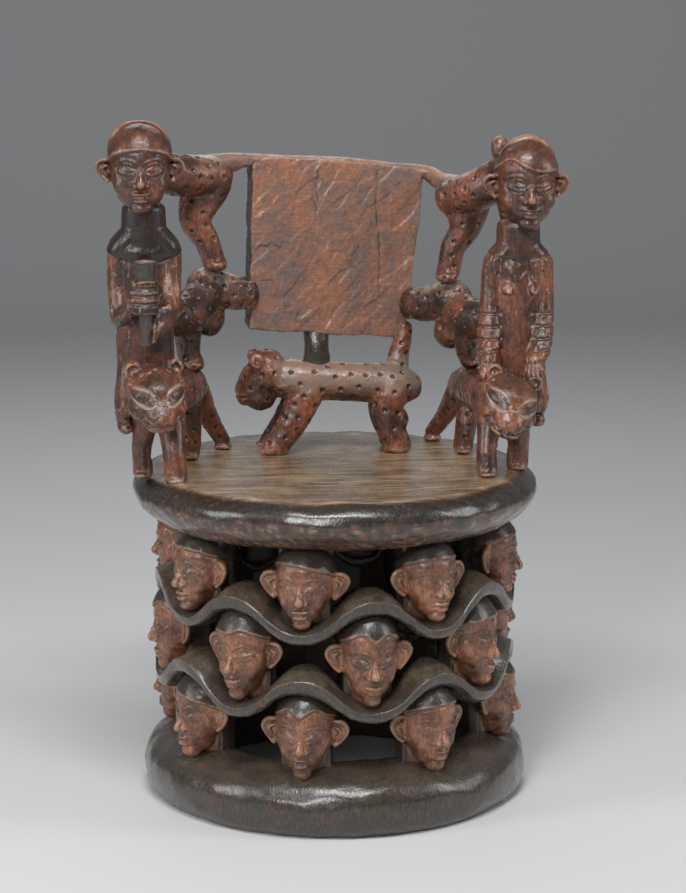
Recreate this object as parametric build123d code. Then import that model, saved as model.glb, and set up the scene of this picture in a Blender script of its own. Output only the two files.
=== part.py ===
"""Carved prestige chair: an openwork drum of heads and wavy bands under a round seat,
with leopards, two riders and a back panel above it.

Millimetres, +Z up. The chair faces -Y, and left and right are those of someone who looks at its
front, so right is +X. The drawing's origin is the seat's axis on the floor. At the end everything
is moved so that the origin is the middle of the whole chair's footprint. The wood grew in one
block; it is drawn as separate carved members that meet face to face.
"""

import os
from math import cos, radians, sin

from build123d import *

# ---------------------------------------------------------------- driving dimensions
# Seat: a thick disc with a rounded rim, bevelled underneath
seat_height = 442.0
seat_radius = 275.0
seat_rim_height = 44.0
seat_rim_bulge = 19.0
seat_bevel_height = 22.0
seat_bevel_inset = 28.0

# Base ring
base_radius = 261.0
base_height = 76.0
base_bore_radius = 184.0
base_widest_height = 34.0
base_floor_inset = 8.0
base_shoulder_inset = 36.0

# Wavy bands
heads_per_row = 8
row_bearing = -16.4  # of the first head of the top row, degrees from the front towards +X
band_radius = 244.0
band_bore_radius = 190.0
band_trough_thickness = 18.0
band_crest_thickness = 31.0
band_rise = 51.0  # trough to crest, on the upper face
lower_trough_height = 167.0
upper_trough_height = 271.0
wave_roundness = 0.45  # share of a half wave that each end pulls level

# Heads on the drum
head_face_radius = 247.0
head_half_width = 38.0
head_depth = 84.0
head_lean = 9.0  # degrees, brow forward
chin_half_width = 13.0
ear_radius = 19.0
ear_thickness = 9.0
ear_spread = 46.0  # ear's middle from the face's middle
neck_half_width = 42.0
back_neck_half_width = 72.0  # the drum's far side is left nearly closed between its heads
far_side = 104.0  # degrees from the front, where the broad blocks begin
meeting_depth = 12.0  # a member runs this deep into its neighbour before it is trimmed to it

# Leopards
leg_radius = 14.0
paw_radius = 16.0
seat_leopard_girth = 32.0
seat_leopard_spine = 103.0  # above the seat
seat_leopard_head_width = 86.0
middle_leopard_girth = 25.0
top_leopard_girth = 27.0
centre_leopard_setback = 116.0
centre_leopard_length = 160.0
centre_leopard_spine = 90.0
centre_leopard_girth = 30.0

# Riders
torso_half_width = 38.0
torso_half_depth = 31.0
arm_radius = 13.0
rider_neck_radius = 28.0
rider_neck_length = 38.0
rider_head_half_width = 42.0
rider_head_half_depth = 47.0
rider_ear_radius = 14.0
cap_thickness = 4.0
cup_length = 108.0
cup_drop = 24.0  # mouth below the shoulders
cup_mouth_radius = 15.5
cup_foot_radius = 6.5

# Back panel, its post and its rail
panel_top_width = 246.0
panel_bottom_width = 222.0
panel_height = 236.0
panel_thickness = 34.0
panel_skew = 4.0  # its lower edge stands this much to the right
panel_clearance = 162.0  # seat to the middle of the lower edge
panel_setback = 128.0
panel_shift = 6.0
panel_lean = 5.0  # degrees, its left end higher
panel_turn = 9.0  # degrees, its left end nearer to the sitter
post_radius = 19.0
rail_thickness = 12.0
rail_depth = 30.0

# Places of the figures: x and y on the seat, and heights above it, for each side
seat_leopard_front = {"left": (-239.0, -68.0), "right": (217.0, -72.0)}
seat_leopard_hind = {"left": (-170.0, 102.0), "right": (184.0, 116.0)}
seat_leopard_stance = 50.0
front_stride = 20.0  # the inner front leg stands this far ahead, and the outer one as far behind
hind_stride = 26.0  # the inner hind leg stands this far behind, and the outer one as far ahead
leopard_head = {"left": (-243.0, -104.0, 103.0), "right": (221.0, -104.0, 91.0)}
rider_spine = {"left": (-254.0, -40.0), "right": (240.0, -40.0)}
rider_head_centre = {"left": (-257.0, -42.0), "right": (246.0, -42.0)}
rider_hips = {"left": 146.0, "right": 140.0}
rider_shoulders = {"left": 312.0, "right": 285.0}
rider_crown = {"left": 462.0, "right": 438.0}
rider_foot_height = 62.0
rider_foot_spread = 37.0
middle_leopard_chest = {"left": (-192.0, 58.0, 200.0), "right": (192.0, 58.0, 190.0)}
middle_leopard_head = {"left": (-160.0, 98.0, 228.0), "right": (176.0, 98.0, 206.0)}
top_leopard_rump = {"left": (-158.0, 84.0, 385.0), "right": (176.0, 84.0, 352.0)}
top_leopard_head = {"left": (-245.0, 34.0, 396.0), "right": (234.0, 34.0, 386.0)}

os.makedirs("parts", exist_ok=True)

seat_underside = seat_height - seat_rim_height - seat_bevel_height
head_pitch = 360.0 / heads_per_row


# ---------------------------------------------------------------- helpers
def on_drum(bearing, radius, height=0.0):
    """The point at a bearing from the front, at a radius from the seat's axis."""
    a = radians(bearing)
    return Vector(radius * sin(a), -radius * cos(a), height)


def carved_form(*stations, side=(1, 0, 0)):
    """A smooth closed body through oval sections.

    Each station is x, y, z, the half width along side and the half width across it.
    """
    points = [Vector(*s[:3]) for s in stations]
    sections = []
    for i, station in enumerate(stations):
        run = points[min(i + 1, len(points) - 1)] - points[max(i - 1, 0)]
        run = run.normalized()
        level = Vector(*side) - run * run.dot(Vector(*side))
        plane = Plane(origin=points[i], x_dir=level, z_dir=run)
        sections.append(plane * Ellipse(station[3], station[4]))
    return loft(sections)


def fused(first, *others):
    """One solid from several that run into each other."""
    return first.fuse(*others).solids().sort_by(SortBy.VOLUME)[-1]


def trimmed(shape, *neighbours):
    """The main body of a shape, with the space of its neighbours taken away."""
    for neighbour in neighbours:
        shape = shape.cut(neighbour)
    return shape.solids().sort_by(SortBy.VOLUME)[-1]


def ball(centre, radius):
    return Pos(*centre) * Sphere(radius)


def raised(place):
    """A place given with its height above the seat, as a point above the floor."""
    return Vector(place[0], place[1], seat_height + place[2])


# ---------------------------------------------------------------- drum
def seat_disc():
    rim_foot = seat_height - seat_rim_height
    flat_radius = seat_radius - seat_rim_bulge
    with BuildPart() as part:
        with BuildSketch(Plane.XZ):
            with BuildLine():
                underside = Line((0, seat_underside), (seat_radius - seat_bevel_inset - 9, seat_underside))
                bevel = Line(underside @ 1, (seat_radius - 9, rim_foot))
                widest = (seat_radius, seat_height - 0.6 * seat_rim_height)
                rim = ThreePointArc(bevel @ 1, widest, (flat_radius, seat_height))
                Line(rim @ 1, (0, seat_height))
                Line((0, seat_height), (0, seat_underside))
            make_face()
        revolve(axis=Axis.Z)
    return part.part.solid()


def base_ring():
    floor_radius = base_radius - base_floor_inset
    shoulder = (base_radius - base_shoulder_inset, base_height)
    with BuildPart() as part:
        with BuildSketch(Plane.XZ):
            with BuildLine():
                floor = Line((base_bore_radius, 0), (floor_radius, 0))
                side = Spline(floor @ 1, (base_radius, base_widest_height), shoulder)
                top = Line(side @ 1, (base_bore_radius, base_height))
                Line(top @ 1, floor @ 0)
            make_face()
        revolve(axis=Axis.Z)
    return part.part.solid()


def wave_edge(radius, bearing, low, high):
    """Half a wave's edge, from a trough at a bearing up to the next crest."""
    half = radians(head_pitch / 2)
    start = on_drum(bearing, radius, low)
    end = on_drum(bearing + head_pitch / 2, radius, high)
    pull = radius * half * wave_roundness
    leaving = on_drum(bearing + 90, pull)
    arriving = on_drum(bearing + head_pitch / 2 + 90, pull)
    return Bezier(start, start + leaving, end - arriving, end).edge()


def half_wave(bearing, trough_top, radius):
    """The four sides of a band between a trough and the next crest."""
    trough_foot = trough_top - band_trough_thickness
    crest_top = trough_top + band_rise
    crest_foot = crest_top - band_crest_thickness
    edges = [
        wave_edge(radius, bearing, trough_top, crest_top),
        wave_edge(band_bore_radius, bearing, trough_top, crest_top),
        wave_edge(band_bore_radius, bearing, trough_foot, crest_foot),
        wave_edge(radius, bearing, trough_foot, crest_foot),
    ]
    return [Face.make_surface_from_curves(edges[i - 1], edges[i]) for i in range(4)]


def wavy_band(trough_bearing, trough_top, radius):
    sides = []
    for n in range(heads_per_row):
        rising = half_wave(trough_bearing + n * head_pitch, trough_top, radius)
        mirror_plane = Plane(origin=(0, 0, 0), z_dir=on_drum(trough_bearing + n * head_pitch + 90, 1))
        sides += rising + [face.mirror(mirror_plane) for face in rising]
    return Solid(Shell(sides))


def drum_head(foot, crown, block_half_width):
    """A head in the openwork at bearing 0, from the chin's height to the crown's."""
    tall = crown - foot
    face = -head_face_radius
    middle = face + head_depth / 2
    lean = tall * sin(radians(head_lean))
    skull = carved_form(
        (0, middle + 4, foot, chin_half_width, head_depth * 0.30),
        (0, middle + 2, foot + 0.14 * tall, 0.62 * head_half_width, head_depth * 0.40),
        (0, middle, foot + 0.45 * tall, head_half_width, head_depth * 0.48),
        (0, middle - 0.3 * lean, foot + 0.72 * tall, 0.97 * head_half_width, head_depth * 0.48),
        (0, middle, crown, 0.62 * head_half_width, head_depth * 0.34),
    )
    nose = carved_form(
        (0, face + 6, foot + 0.50 * tall, 4, 7),
        (0, face + 2, foot + 0.29 * tall, 9, 9),
    )
    ears = []
    for side in (-1, 1):
        ear_centre = (side * ear_spread, middle - 6, foot + 0.55 * tall)
        plane = Plane(origin=ear_centre, z_dir=(side * 0.6, 0.8, 0))
        ears.append(plane * Cylinder(ear_radius, ear_thickness))
    neck_length = -middle - band_bore_radius
    neck = Pos(0, middle + neck_length / 2, foot + tall / 2) * Box(2 * block_half_width, neck_length, tall)
    return fused(skull, nose, neck, *ears)


def row_of_heads(name, foot, crown, turn, *neighbours):
    """A row of heads, named by number and trimmed to the members above and below."""
    near = trimmed(drum_head(foot, crown, neck_half_width), *neighbours)
    far = trimmed(drum_head(foot, crown, back_neck_half_width), *neighbours)
    heads = {}
    for n in range(heads_per_row):
        bearing = turn + n * head_pitch
        head = near if cos(radians(bearing)) > cos(radians(far_side)) else far
        heads[f"{name}_{n + 1}"] = head.rotate(Axis.Z, bearing)
    return heads


def build_drum(parts):
    """The seat, the ring, the bands and the three rows of heads between them."""
    top_turn = row_bearing
    middle_turn = row_bearing + head_pitch / 2
    parts["seat_disc"] = seat_disc()
    parts["base_ring"] = base_ring()
    parts["wavy_band_upper"] = wavy_band(top_turn, upper_trough_height, band_radius)
    parts["wavy_band_lower"] = wavy_band(middle_turn, lower_trough_height, band_radius)
    # Heads are trimmed by bands drawn wider, so that no face hangs over a band's outer side.
    reach = head_face_radius + head_depth
    trough_band = wavy_band(0, upper_trough_height, reach)
    crest_band = wavy_band(head_pitch / 2, upper_trough_height, reach)
    drop = Pos(0, 0, lower_trough_height - upper_trough_height)
    sink = meeting_depth
    crest_foot = band_rise - band_crest_thickness + sink
    crowns = (seat_underside + sink, upper_trough_height + crest_foot, lower_trough_height + crest_foot)
    rows = (
        ("head_top", upper_trough_height, crowns[0], top_turn, trough_band, parts["seat_disc"]),
        ("head_middle", lower_trough_height, crowns[1], middle_turn, drop * trough_band, crest_band),
        ("head_bottom", base_height, crowns[2], top_turn, parts["base_ring"], drop * crest_band),
    )
    for name, foot, crown, turn, *neighbours in rows:
        parts.update(row_of_heads(name, foot - sink / 2, crown, turn, *neighbours))


# ---------------------------------------------------------------- leopards on the seat
def leg(hip, knee, paw, hip_radius=1.5, paw_turn=(1, 0, 0)):
    """A leg from the trunk to the ground it stands on, ending below it to be trimmed."""
    return carved_form(
        (*hip, hip_radius * leg_radius, hip_radius * leg_radius),
        (*knee, leg_radius, leg_radius),
        (*paw, paw_radius, paw_radius),
        side=paw_turn,
    )


def seat_leopard(side):
    """A leopard that stands along the seat's edge and carries a rider."""
    front, hind = seat_leopard_front[side], seat_leopard_hind[side]
    ahead = Vector(front[0] - hind[0], front[1] - hind[1]).normalized()
    across = Vector(-ahead.Y, ahead.X)
    spine = seat_height + seat_leopard_spine
    girth = seat_leopard_girth

    def at(start, along, sideways, height):
        return tuple(Vector(*start, height) + ahead * along + across * sideways)

    head_at = raised(leopard_head[side])
    trunk = carved_form(
        (*at(hind, -26, 0, spine - 4), 0.55 * girth, 0.6 * girth),
        (*at(hind, 6, 0, spine - 2), 0.95 * girth, girth),
        (*at(hind, 90, 0, spine - 6), 0.85 * girth, 0.9 * girth),
        (*at(front, 0, 0, spine - 2), girth, 1.1 * girth),
        (*at(front, 22, 0, spine), 0.8 * girth, 0.9 * girth),
        side=across,
    )
    half = seat_leopard_head_width / 2
    head = carved_form(
        (head_at.X, head_at.Y + 34, head_at.Z + 10, 0.75 * half, 0.7 * half),
        (head_at.X, head_at.Y + 8, head_at.Z + 8, half, 0.85 * half),
        (head_at.X, head_at.Y - 14, head_at.Z - 6, 0.85 * half, 0.7 * half),
        (head_at.X, head_at.Y - 38, head_at.Z - 17, 0.45 * half, 0.42 * half),
    )
    ears = [
        ball((head_at.X + s * 0.72 * half, head_at.Y + 16, head_at.Z + 0.98 * half), 0.33 * half)
        for s in (-1, 1)
    ]
    stance = seat_leopard_stance / 2
    inner = 1 if side == "left" else -1
    legs = []
    for start, stride, bend in ((front, front_stride, 4), (hind, -hind_stride, -12)):
        for s in (-1, 1):
            reach = s * inner * stride
            hip = at(start, 0.2 * reach, 0.7 * s * stance, spine - 0.5 * girth)
            knee = at(start, 0.6 * reach + bend, s * stance, seat_height + 0.4 * seat_leopard_spine)
            paw = at(start, reach, s * stance, seat_height - 6)
            legs.append(leg(hip, knee, paw))
    return fused(trunk, head, *ears, *legs)


# ---------------------------------------------------------------- riders
def rider_body(side, hips_into):
    """A rider's torso, arms and legs, astride a leopard."""
    x, y = rider_spine[side]
    hip = seat_height + rider_hips[side]
    shoulder = seat_height + rider_shoulders[side]
    wide, deep = torso_half_width, torso_half_depth
    tall = shoulder - hip
    torso = carved_form(
        (x, y, hip - hips_into, 0.85 * wide, deep),
        (x, y, hip + 0.25 * tall, 0.80 * wide, 0.85 * deep),
        (x, y, hip + 0.75 * tall, wide, deep),
        (x, y, shoulder - 6, 0.95 * wide, 0.8 * deep),
        (x, y, shoulder + 4, 0.6 * wide, 0.6 * deep),
    )
    chin = shoulder + rider_neck_length
    neck = Pos(x, y, (shoulder + chin) / 2) * Cylinder(rider_neck_radius, chin - shoulder + 16)
    limbs = []
    for s in (-1, 1):
        edge = x + s * (wide - 0.1 * arm_radius)
        thigh = leg(
            (x + s * 0.6 * wide, y, hip + 6),
            (x + s * 1.05 * wide, y - 14, hip - 45),
            (x + s * rider_foot_spread, y - 2, seat_height + rider_foot_height),
            hip_radius=1.2,
        )
        limbs.append(thigh)
        limbs.append(rider_arm(side, s, edge, y, hip, shoulder))
    return fused(torso, neck, *limbs)


def rider_arm(side, s, edge, y, hip, shoulder):
    """The right rider's arms reach down to the leopard's head; the left one's hold a cup."""
    r = arm_radius
    if side == "right":
        return carved_form(
            (edge, y, shoulder - 6, r, r),
            (edge + 2 * s, y - 6, shoulder - 70, r, r),
            (edge - 5 * s, y - 22, hip + 24, r, r),
            (edge - 12 * s, y - 36, hip - 2, 0.9 * r, 0.9 * r),
        )
    x = rider_spine[side][0]
    elbow = (edge + 3 * s, y - 4, hip + 0.36 * (shoulder - hip))
    grip = hip + (0.66 if s < 0 else 0.30) * (shoulder - hip)
    hand = (x + 9 * s, y - torso_half_depth - 16, grip)
    upper = carved_form(
        (edge, y, shoulder - 6, r, r), (edge + s, y - 3, 0.5 * (shoulder + elbow[2]), r, r), (*elbow, r, r)
    )
    bend = (0.5 * (elbow[0] + hand[0]) + 6 * s, y - 28, 0.5 * (elbow[2] + grip))
    forearm = ((*elbow, 0.95 * r, 0.95 * r), (*bend, 0.95 * r, r), (*hand, 0.8 * r, r))
    lower = carved_form(*forearm, side=(0, 0, 1))
    return fused(upper, ball(elbow, 1.04 * r), lower, ball(hand, 1.15 * r))


def rider_head(side):
    """A rider's head, from the chin to the crown, with its ears and nose."""
    x, y = rider_head_centre[side]
    chin = seat_height + rider_shoulders[side] + rider_neck_length - 6
    crown = seat_height + rider_crown[side] - cap_thickness
    tall = crown - chin
    wide, deep = rider_head_half_width, rider_head_half_depth
    skull = carved_form(
        (x, y - 10, chin - 2, 0.45 * wide, 0.60 * deep),
        (x, y - 7, chin + 0.20 * tall, 0.82 * wide, 0.90 * deep),
        (x, y - 4, chin + 0.50 * tall, wide, deep),
        (x, y, chin + 0.80 * tall, 0.88 * wide, 0.90 * deep),
        (x, y + 2, crown, 0.42 * wide, 0.45 * deep),
    )
    nose = carved_form(
        (x, y - deep - 1, chin + 0.50 * tall, 4, 7),
        (x, y - deep - 4, chin + 0.29 * tall, 9, 8),
    )
    ears = []
    for s in (-1, 1):
        plane = Plane(origin=(x + s * (wide + 1), y, chin + 0.42 * tall), z_dir=(0.5 * s, 0.85, 0))
        ears.append(plane * Cylinder(rider_ear_radius, ear_thickness))
    return fused(skull, nose, *ears)


def rider_cap(side, head):
    """A close cap: the skull's own shape above the brow, thickened."""
    x, y = rider_head_centre[side]
    chin = seat_height + rider_shoulders[side] + rider_neck_length - 6
    crown = seat_height + rider_crown[side]
    brim = chin + 0.66 * (crown - chin)
    wide = rider_head_half_width + cap_thickness
    deep = rider_head_half_depth + cap_thickness
    dome = carved_form(
        (x, y - 3, brim, 0.97 * wide, 0.98 * deep),
        (x, y - 1, brim + 0.45 * (crown - brim), 0.90 * wide, 0.92 * deep),
        (x, y + 2, crown, 0.46 * wide, 0.48 * deep),
    )
    return trimmed(dome, head)


def drinking_cup():
    """The horn cup that the left rider holds upright before the chest."""
    x, y = rider_spine["left"]
    mouth = seat_height + rider_shoulders["left"] - cup_drop
    foot = mouth - cup_length
    standing = Plane.XY.offset(foot)
    cup = Solid.make_cone(cup_foot_radius, cup_mouth_radius, cup_length, standing)
    return Pos(x, y - torso_half_depth - 20, 0) * cup


# ---------------------------------------------------------------- upper leopards
def middle_leopard(side, panel_edge):
    """A leopard behind a rider that bites the panel's edge."""
    out = -1 if side == "left" else 1
    chest, head = raised(middle_leopard_chest[side]), raised(middle_leopard_head[side])
    x, y = rider_spine[side]
    girth = middle_leopard_girth
    trunk = carved_form(
        (x - 4 * out, y + 34, chest.Z - 4, 0.8 * girth, 0.9 * girth),
        (0.5 * (x + chest.X), 0.5 * (y + 30 + chest.Y), chest.Z, girth, 1.1 * girth),
        (chest.X, chest.Y, chest.Z, 1.05 * girth, 1.25 * girth),
        (head.X + 12 * out, head.Y - 8, head.Z - 10, 0.9 * girth, 1.1 * girth),
        side=(-out * 0.7, -0.7, 0),
    )
    skull = carved_form(
        (head.X + 16 * out, head.Y - 10, head.Z, 0.9 * girth, girth),
        (head.X, head.Y, head.Z, girth, 1.15 * girth),
        (0.5 * (head.X + panel_edge.X), 0.5 * (head.Y + panel_edge.Y), head.Z - 10, 0.8 * girth, girth),
        (panel_edge.X - 10 * out, panel_edge.Y, head.Z - 14, 0.6 * girth, 0.7 * girth),
        side=(0, 1, 0),
    )
    jaw = ball((head.X + 4 * out, head.Y - 2, head.Z - 50), 0.9 * girth)
    throat = carved_form(
        (head.X + 4 * out, head.Y - 2, head.Z - 48, 0.8 * girth, 0.8 * girth),
        (head.X, head.Y, head.Z - 4, 0.8 * girth, 0.8 * girth),
    )
    foot = seat_leopard_hind[side]
    stand = seat_height + seat_leopard_spine
    front_leg = carved_form(
        (chest.X, chest.Y, chest.Z, 0.8 * girth, 0.8 * girth),
        (chest.X - out, chest.Y + 2, 0.5 * (chest.Z + stand), leg_radius, leg_radius),
        (foot[0] + 16 * out, foot[1] - 38, stand, paw_radius, paw_radius),
    )
    return fused(trunk, skull, jaw, throat, front_leg)


def top_leopard(side):
    """A leopard behind a rider's head, with a hind foot on the leopard below."""
    out = -1 if side == "left" else 1
    rump, head = raised(top_leopard_rump[side]), raised(top_leopard_head[side])
    below = raised(middle_leopard_head[side])
    girth = top_leopard_girth
    middle = (rump + head) * 0.5
    trunk = carved_form(
        (rump.X - 14 * out, rump.Y + 8, rump.Z + 4, 0.6 * girth, 0.7 * girth),
        (rump.X, rump.Y, rump.Z, girth, 1.05 * girth),
        (middle.X, middle.Y, middle.Z - 4, girth, 1.1 * girth),
        (head.X, head.Y, head.Z, 0.9 * girth, girth),
        side=(-out * 0.5, -0.8, 0),
    )
    x, y = rider_spine[side]
    skull = ball((head.X, head.Y - 6, head.Z + 4), 1.05 * girth)
    knee = rump.Z - 0.5 * (rump.Z - below.Z) - 4
    hind_leg = carved_form(
        (rump.X + 2 * out, rump.Y, rump.Z - 4, 1.2 * girth, 0.9 * girth),
        (rump.X + 24 * out, rump.Y - 8, knee + 22, 0.85 * girth, 0.7 * girth),
        (rump.X + 22 * out, rump.Y - 6, knee - 12, 0.7 * girth, 0.6 * girth),
        (below.X + 2 * out, below.Y - 6, below.Z + middle_leopard_girth - 6, paw_radius + 2, paw_radius),
    )
    shoulders = seat_height + rider_shoulders[side]
    fore_leg = carved_form(
        (head.X, head.Y, head.Z - 8, 0.7 * girth, 0.7 * girth),
        (x - 6 * out, y + 52, 0.5 * (head.Z + shoulders), leg_radius, leg_radius),
        (x - 4 * out, y + 30, shoulders - 34, leg_radius, leg_radius),
    )
    return fused(trunk, skull, hind_leg, fore_leg)


# ---------------------------------------------------------------- back
def panel_corners():
    """The panel's corners in its own plane, from its middle: clockwise from top left."""
    top, bottom, half = panel_top_width / 2, panel_bottom_width / 2, panel_height / 2
    return [(-top, half), (top, half), (bottom + panel_skew, -half), (-bottom + panel_skew, -half)]


def panel_plane():
    """The panel's middle plane: its x runs along the width and its y up."""
    centre = Vector(panel_shift, panel_setback, seat_height + panel_clearance + panel_height / 2)
    turn, lean = radians(panel_turn), radians(panel_lean)
    along = Vector(cos(turn) * cos(lean), sin(turn) * cos(lean), -sin(lean))
    return Plane(origin=centre, x_dir=along, z_dir=(sin(turn), -cos(turn), 0))


def back_panel():
    face = panel_plane() * make_face(Polyline(*panel_corners(), close=True))
    slab = extrude(face, amount=panel_thickness / 2, both=True)
    return slab.solid()


def panel_point(x, y, z=0.0):
    """A point given in the panel's plane, in the drawing's coordinates."""
    return panel_plane().from_local_coords(Vector(x, y, z))


def centre_leopard():
    """A leopard in profile, facing left, under the panel."""
    y = centre_leopard_setback
    spine = seat_height + centre_leopard_spine
    rump = panel_shift + 92
    neck = rump - centre_leopard_length
    girth = centre_leopard_girth
    trunk = carved_form(
        (rump + 20, y, spine + 2, 0.5 * girth, 0.55 * girth),
        (rump, y, spine, girth, 1.05 * girth),
        (rump - 0.5 * centre_leopard_length, y, spine, 0.95 * girth, 0.9 * girth),
        (neck + 22, y, spine + 2, girth, 1.05 * girth),
        (neck - 4, y, spine + 6, 0.9 * girth, 0.9 * girth),
        side=(0, 1, 0),
    )
    head = carved_form(
        (neck + 6, y, spine + 10, 0.9 * girth, girth),
        (neck - 16, y, spine + 14, 1.1 * girth, 1.25 * girth),
        (neck - 36, y, spine + 6, girth, 1.1 * girth),
        (neck - 54, y, spine - 4, 0.75 * girth, 0.8 * girth),
        side=(0, 1, 0),
    )
    jaw = ball((neck - 28, y, spine - 18), 0.72 * girth)
    ears = [ball((neck - 12, y + s * 0.75 * girth, spine + 1.45 * girth), 0.32 * girth) for s in (-1, 1)]
    legs = []
    for s in (-1, 1):
        line = y + s * 0.78 * girth
        legs.append(
            carved_form(
                (neck + 44, y + 0.55 * s * girth, spine - 6, 1.3 * leg_radius, leg_radius),
                (neck + 18, line, seat_height + 42, 1.5 * leg_radius, leg_radius),
                (neck - 8, line, seat_height - 6, 1.5 * leg_radius, leg_radius),
            )
        )
        legs.append(
            carved_form(
                (rump - 10, y + 0.55 * s * girth, spine - 4, 1.6 * leg_radius, leg_radius),
                (rump - 14, line, seat_height + 46, 1.5 * leg_radius, leg_radius),
                (rump - 2, line, seat_height - 6, 1.5 * leg_radius, leg_radius),
            )
        )
    corner = panel_point(panel_bottom_width / 2 - 4, -panel_height / 2 + 6)
    tail = carved_form(
        (rump + 8, y + 4, spine - 34, 11, 11),
        (rump + 20, y + 6, spine, 12, 12),
        (0.5 * (rump + 14 + corner.X), 0.5 * (y + 6 + corner.Y), 0.5 * (spine + 20 + corner.Z), 10, 10),
        (corner.X, corner.Y, corner.Z, 9, 9),
    )
    return fused(trunk, head, jaw, tail, *ears, *legs)


def panel_post():
    lower_edge = panel_point(-18, -panel_height / 2)
    foot = Vector(lower_edge.X, centre_leopard_setback, seat_height + centre_leopard_spine)
    top = panel_point(-18, -panel_height / 2 + meeting_depth)
    return carved_form(
        (*foot, post_radius, post_radius),
        (*((foot + top) * 0.5), post_radius, 0.9 * post_radius),
        (*top, post_radius, 0.85 * post_radius),
    )


def top_rail():
    """The bar on the panel's upper edge that runs out to the two top leopards."""
    left, right = raised(top_leopard_rump["left"]), raised(top_leopard_rump["right"])
    top = panel_height / 2 + rail_thickness / 2 - 1
    half = panel_top_width / 2
    west, east = panel_point(-half, top - 4), panel_point(half, top - 4)
    deep, thick = rail_depth / 2, rail_thickness / 2
    return carved_form(
        (*left, deep, 1.8 * thick),
        (*west, deep, 1.6 * thick),
        (*panel_point(0, top), deep, thick),
        (*east, deep, 1.6 * thick),
        (*right, deep, 1.8 * thick),
        side=(0, 1, 0),
    )


def build_back(parts):
    panel = back_panel()
    centre = trimmed(centre_leopard(), parts["seat_disc"], panel)
    parts["back_panel"] = panel
    parts["centre_leopard"] = centre
    parts["panel_post"] = trimmed(panel_post(), panel, centre)
    for side, edge_x in (("left", -panel_bottom_width / 2), ("right", panel_bottom_width / 2)):
        bite = panel_point(edge_x, -0.2 * panel_height)
        seated = trimmed(seat_leopard(side), parts["seat_disc"])
        rider = trimmed(rider_body(side, meeting_depth + 8), seated)
        head = trimmed(rider_head(side), rider)
        cap = rider_cap(side, head)
        middle = trimmed(middle_leopard(side, bite), panel, centre, seated, rider)
        top = trimmed(top_leopard(side), middle, rider, head, cap)
        parts[f"seat_leopard_{side}"] = seated
        parts[f"rider_{side}_body"] = rider
        parts[f"rider_{side}_head"] = head
        parts[f"rider_{side}_cap"] = cap
        parts[f"middle_leopard_{side}"] = middle
        parts[f"top_leopard_{side}"] = top
    parts["drinking_cup"] = trimmed(drinking_cup(), parts["rider_left_body"])
    rail = trimmed(top_rail(), panel, parts["top_leopard_left"], parts["top_leopard_right"])
    parts["top_rail"] = rail


# ---------------------------------------------------------------- whole chair
def main():
    parts = {}
    build_drum(parts)
    build_back(parts)
    box = Compound(list(parts.values())).bounding_box()
    shift = Vector(-box.center().X, -box.center().Y, -box.min.Z)
    for name, shape in parts.items():
        export_step(shape.moved(Location(shift)), f"parts/{name}.step")
        print(name, "written")


main()
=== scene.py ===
# %% [markdown]
# A carved throne, piece by piece
#
# The object is a round throne stool carved from one log: a hollow drum of heads and wavy bands, a
# thick seat, and leopards and riders that hold up a back panel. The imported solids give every
# piece its place and size. This lesson dresses them: forms are blocked out with primitives,
# grown together with a voxel remesh, and then carved by moving vertices, as a knife would.

# %% Load the frame
import math

import bpy
import numpy as np
from mathutils import Euler, Matrix, Vector
from mathutils.kdtree import KDTree


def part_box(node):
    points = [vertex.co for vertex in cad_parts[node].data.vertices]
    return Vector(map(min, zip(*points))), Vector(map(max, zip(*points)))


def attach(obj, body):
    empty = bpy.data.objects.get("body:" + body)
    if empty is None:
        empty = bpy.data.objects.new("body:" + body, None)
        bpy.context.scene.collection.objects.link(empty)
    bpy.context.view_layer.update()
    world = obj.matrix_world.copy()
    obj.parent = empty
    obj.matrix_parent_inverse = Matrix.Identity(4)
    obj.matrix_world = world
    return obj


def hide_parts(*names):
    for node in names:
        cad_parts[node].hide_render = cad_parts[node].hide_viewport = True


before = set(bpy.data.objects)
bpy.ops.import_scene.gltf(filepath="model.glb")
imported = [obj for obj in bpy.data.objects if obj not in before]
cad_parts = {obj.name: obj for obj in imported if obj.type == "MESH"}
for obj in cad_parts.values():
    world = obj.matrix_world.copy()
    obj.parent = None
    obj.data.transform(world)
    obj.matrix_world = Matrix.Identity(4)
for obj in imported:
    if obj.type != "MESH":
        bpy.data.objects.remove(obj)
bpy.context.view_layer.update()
ring_low, ring_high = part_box("base_ring")
AXIS_X = (ring_low[0] + ring_high[0]) / 2 * 1000
AXIS_Y = (ring_low[1] + ring_high[1]) / 2 * 1000
SEAT_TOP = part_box("seat_disc")[1][2] * 1000
print("seat axis", round(AXIS_X, 1), round(AXIS_Y, 1), "seat top", round(SEAT_TOP, 1), "mm")

# %% [markdown]
# All sizes below are millimetres about the seat's axis, which is how a carver would lay the log
# out. Two small helpers turn them into Blender's metres and keep the selection tidy, because an
# operator acts on everything that is selected.

# %% Units and selection
MM = 0.001


def place(x, y, z):
    """A point in millimetres about the seat's axis, as a Blender location."""
    return Vector(((x + AXIS_X) * MM, (y + AXIS_Y) * MM, z * MM))


def take_only(*pieces):
    bpy.ops.object.select_all(action="DESELECT")
    for piece in pieces:
        piece.select_set(True)
    bpy.context.view_layer.objects.active = pieces[0]


def settle(piece):
    """Put a piece's place, turn and scale into its mesh."""
    take_only(piece)
    bpy.ops.object.transform_apply(location=True, rotation=True, scale=True)
    return piece


bpy.ops.object.select_all(action="DESELECT")
print("one unit is", MM, "m")

# %% [markdown]
# Three kinds of lump are enough to block out a carving: a ball that can be squashed, a limb that
# runs smoothly through several points, and a box. A limb is a row of balls along a soft curve:
# once everything is remeshed together, the row becomes one smooth branch.

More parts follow.
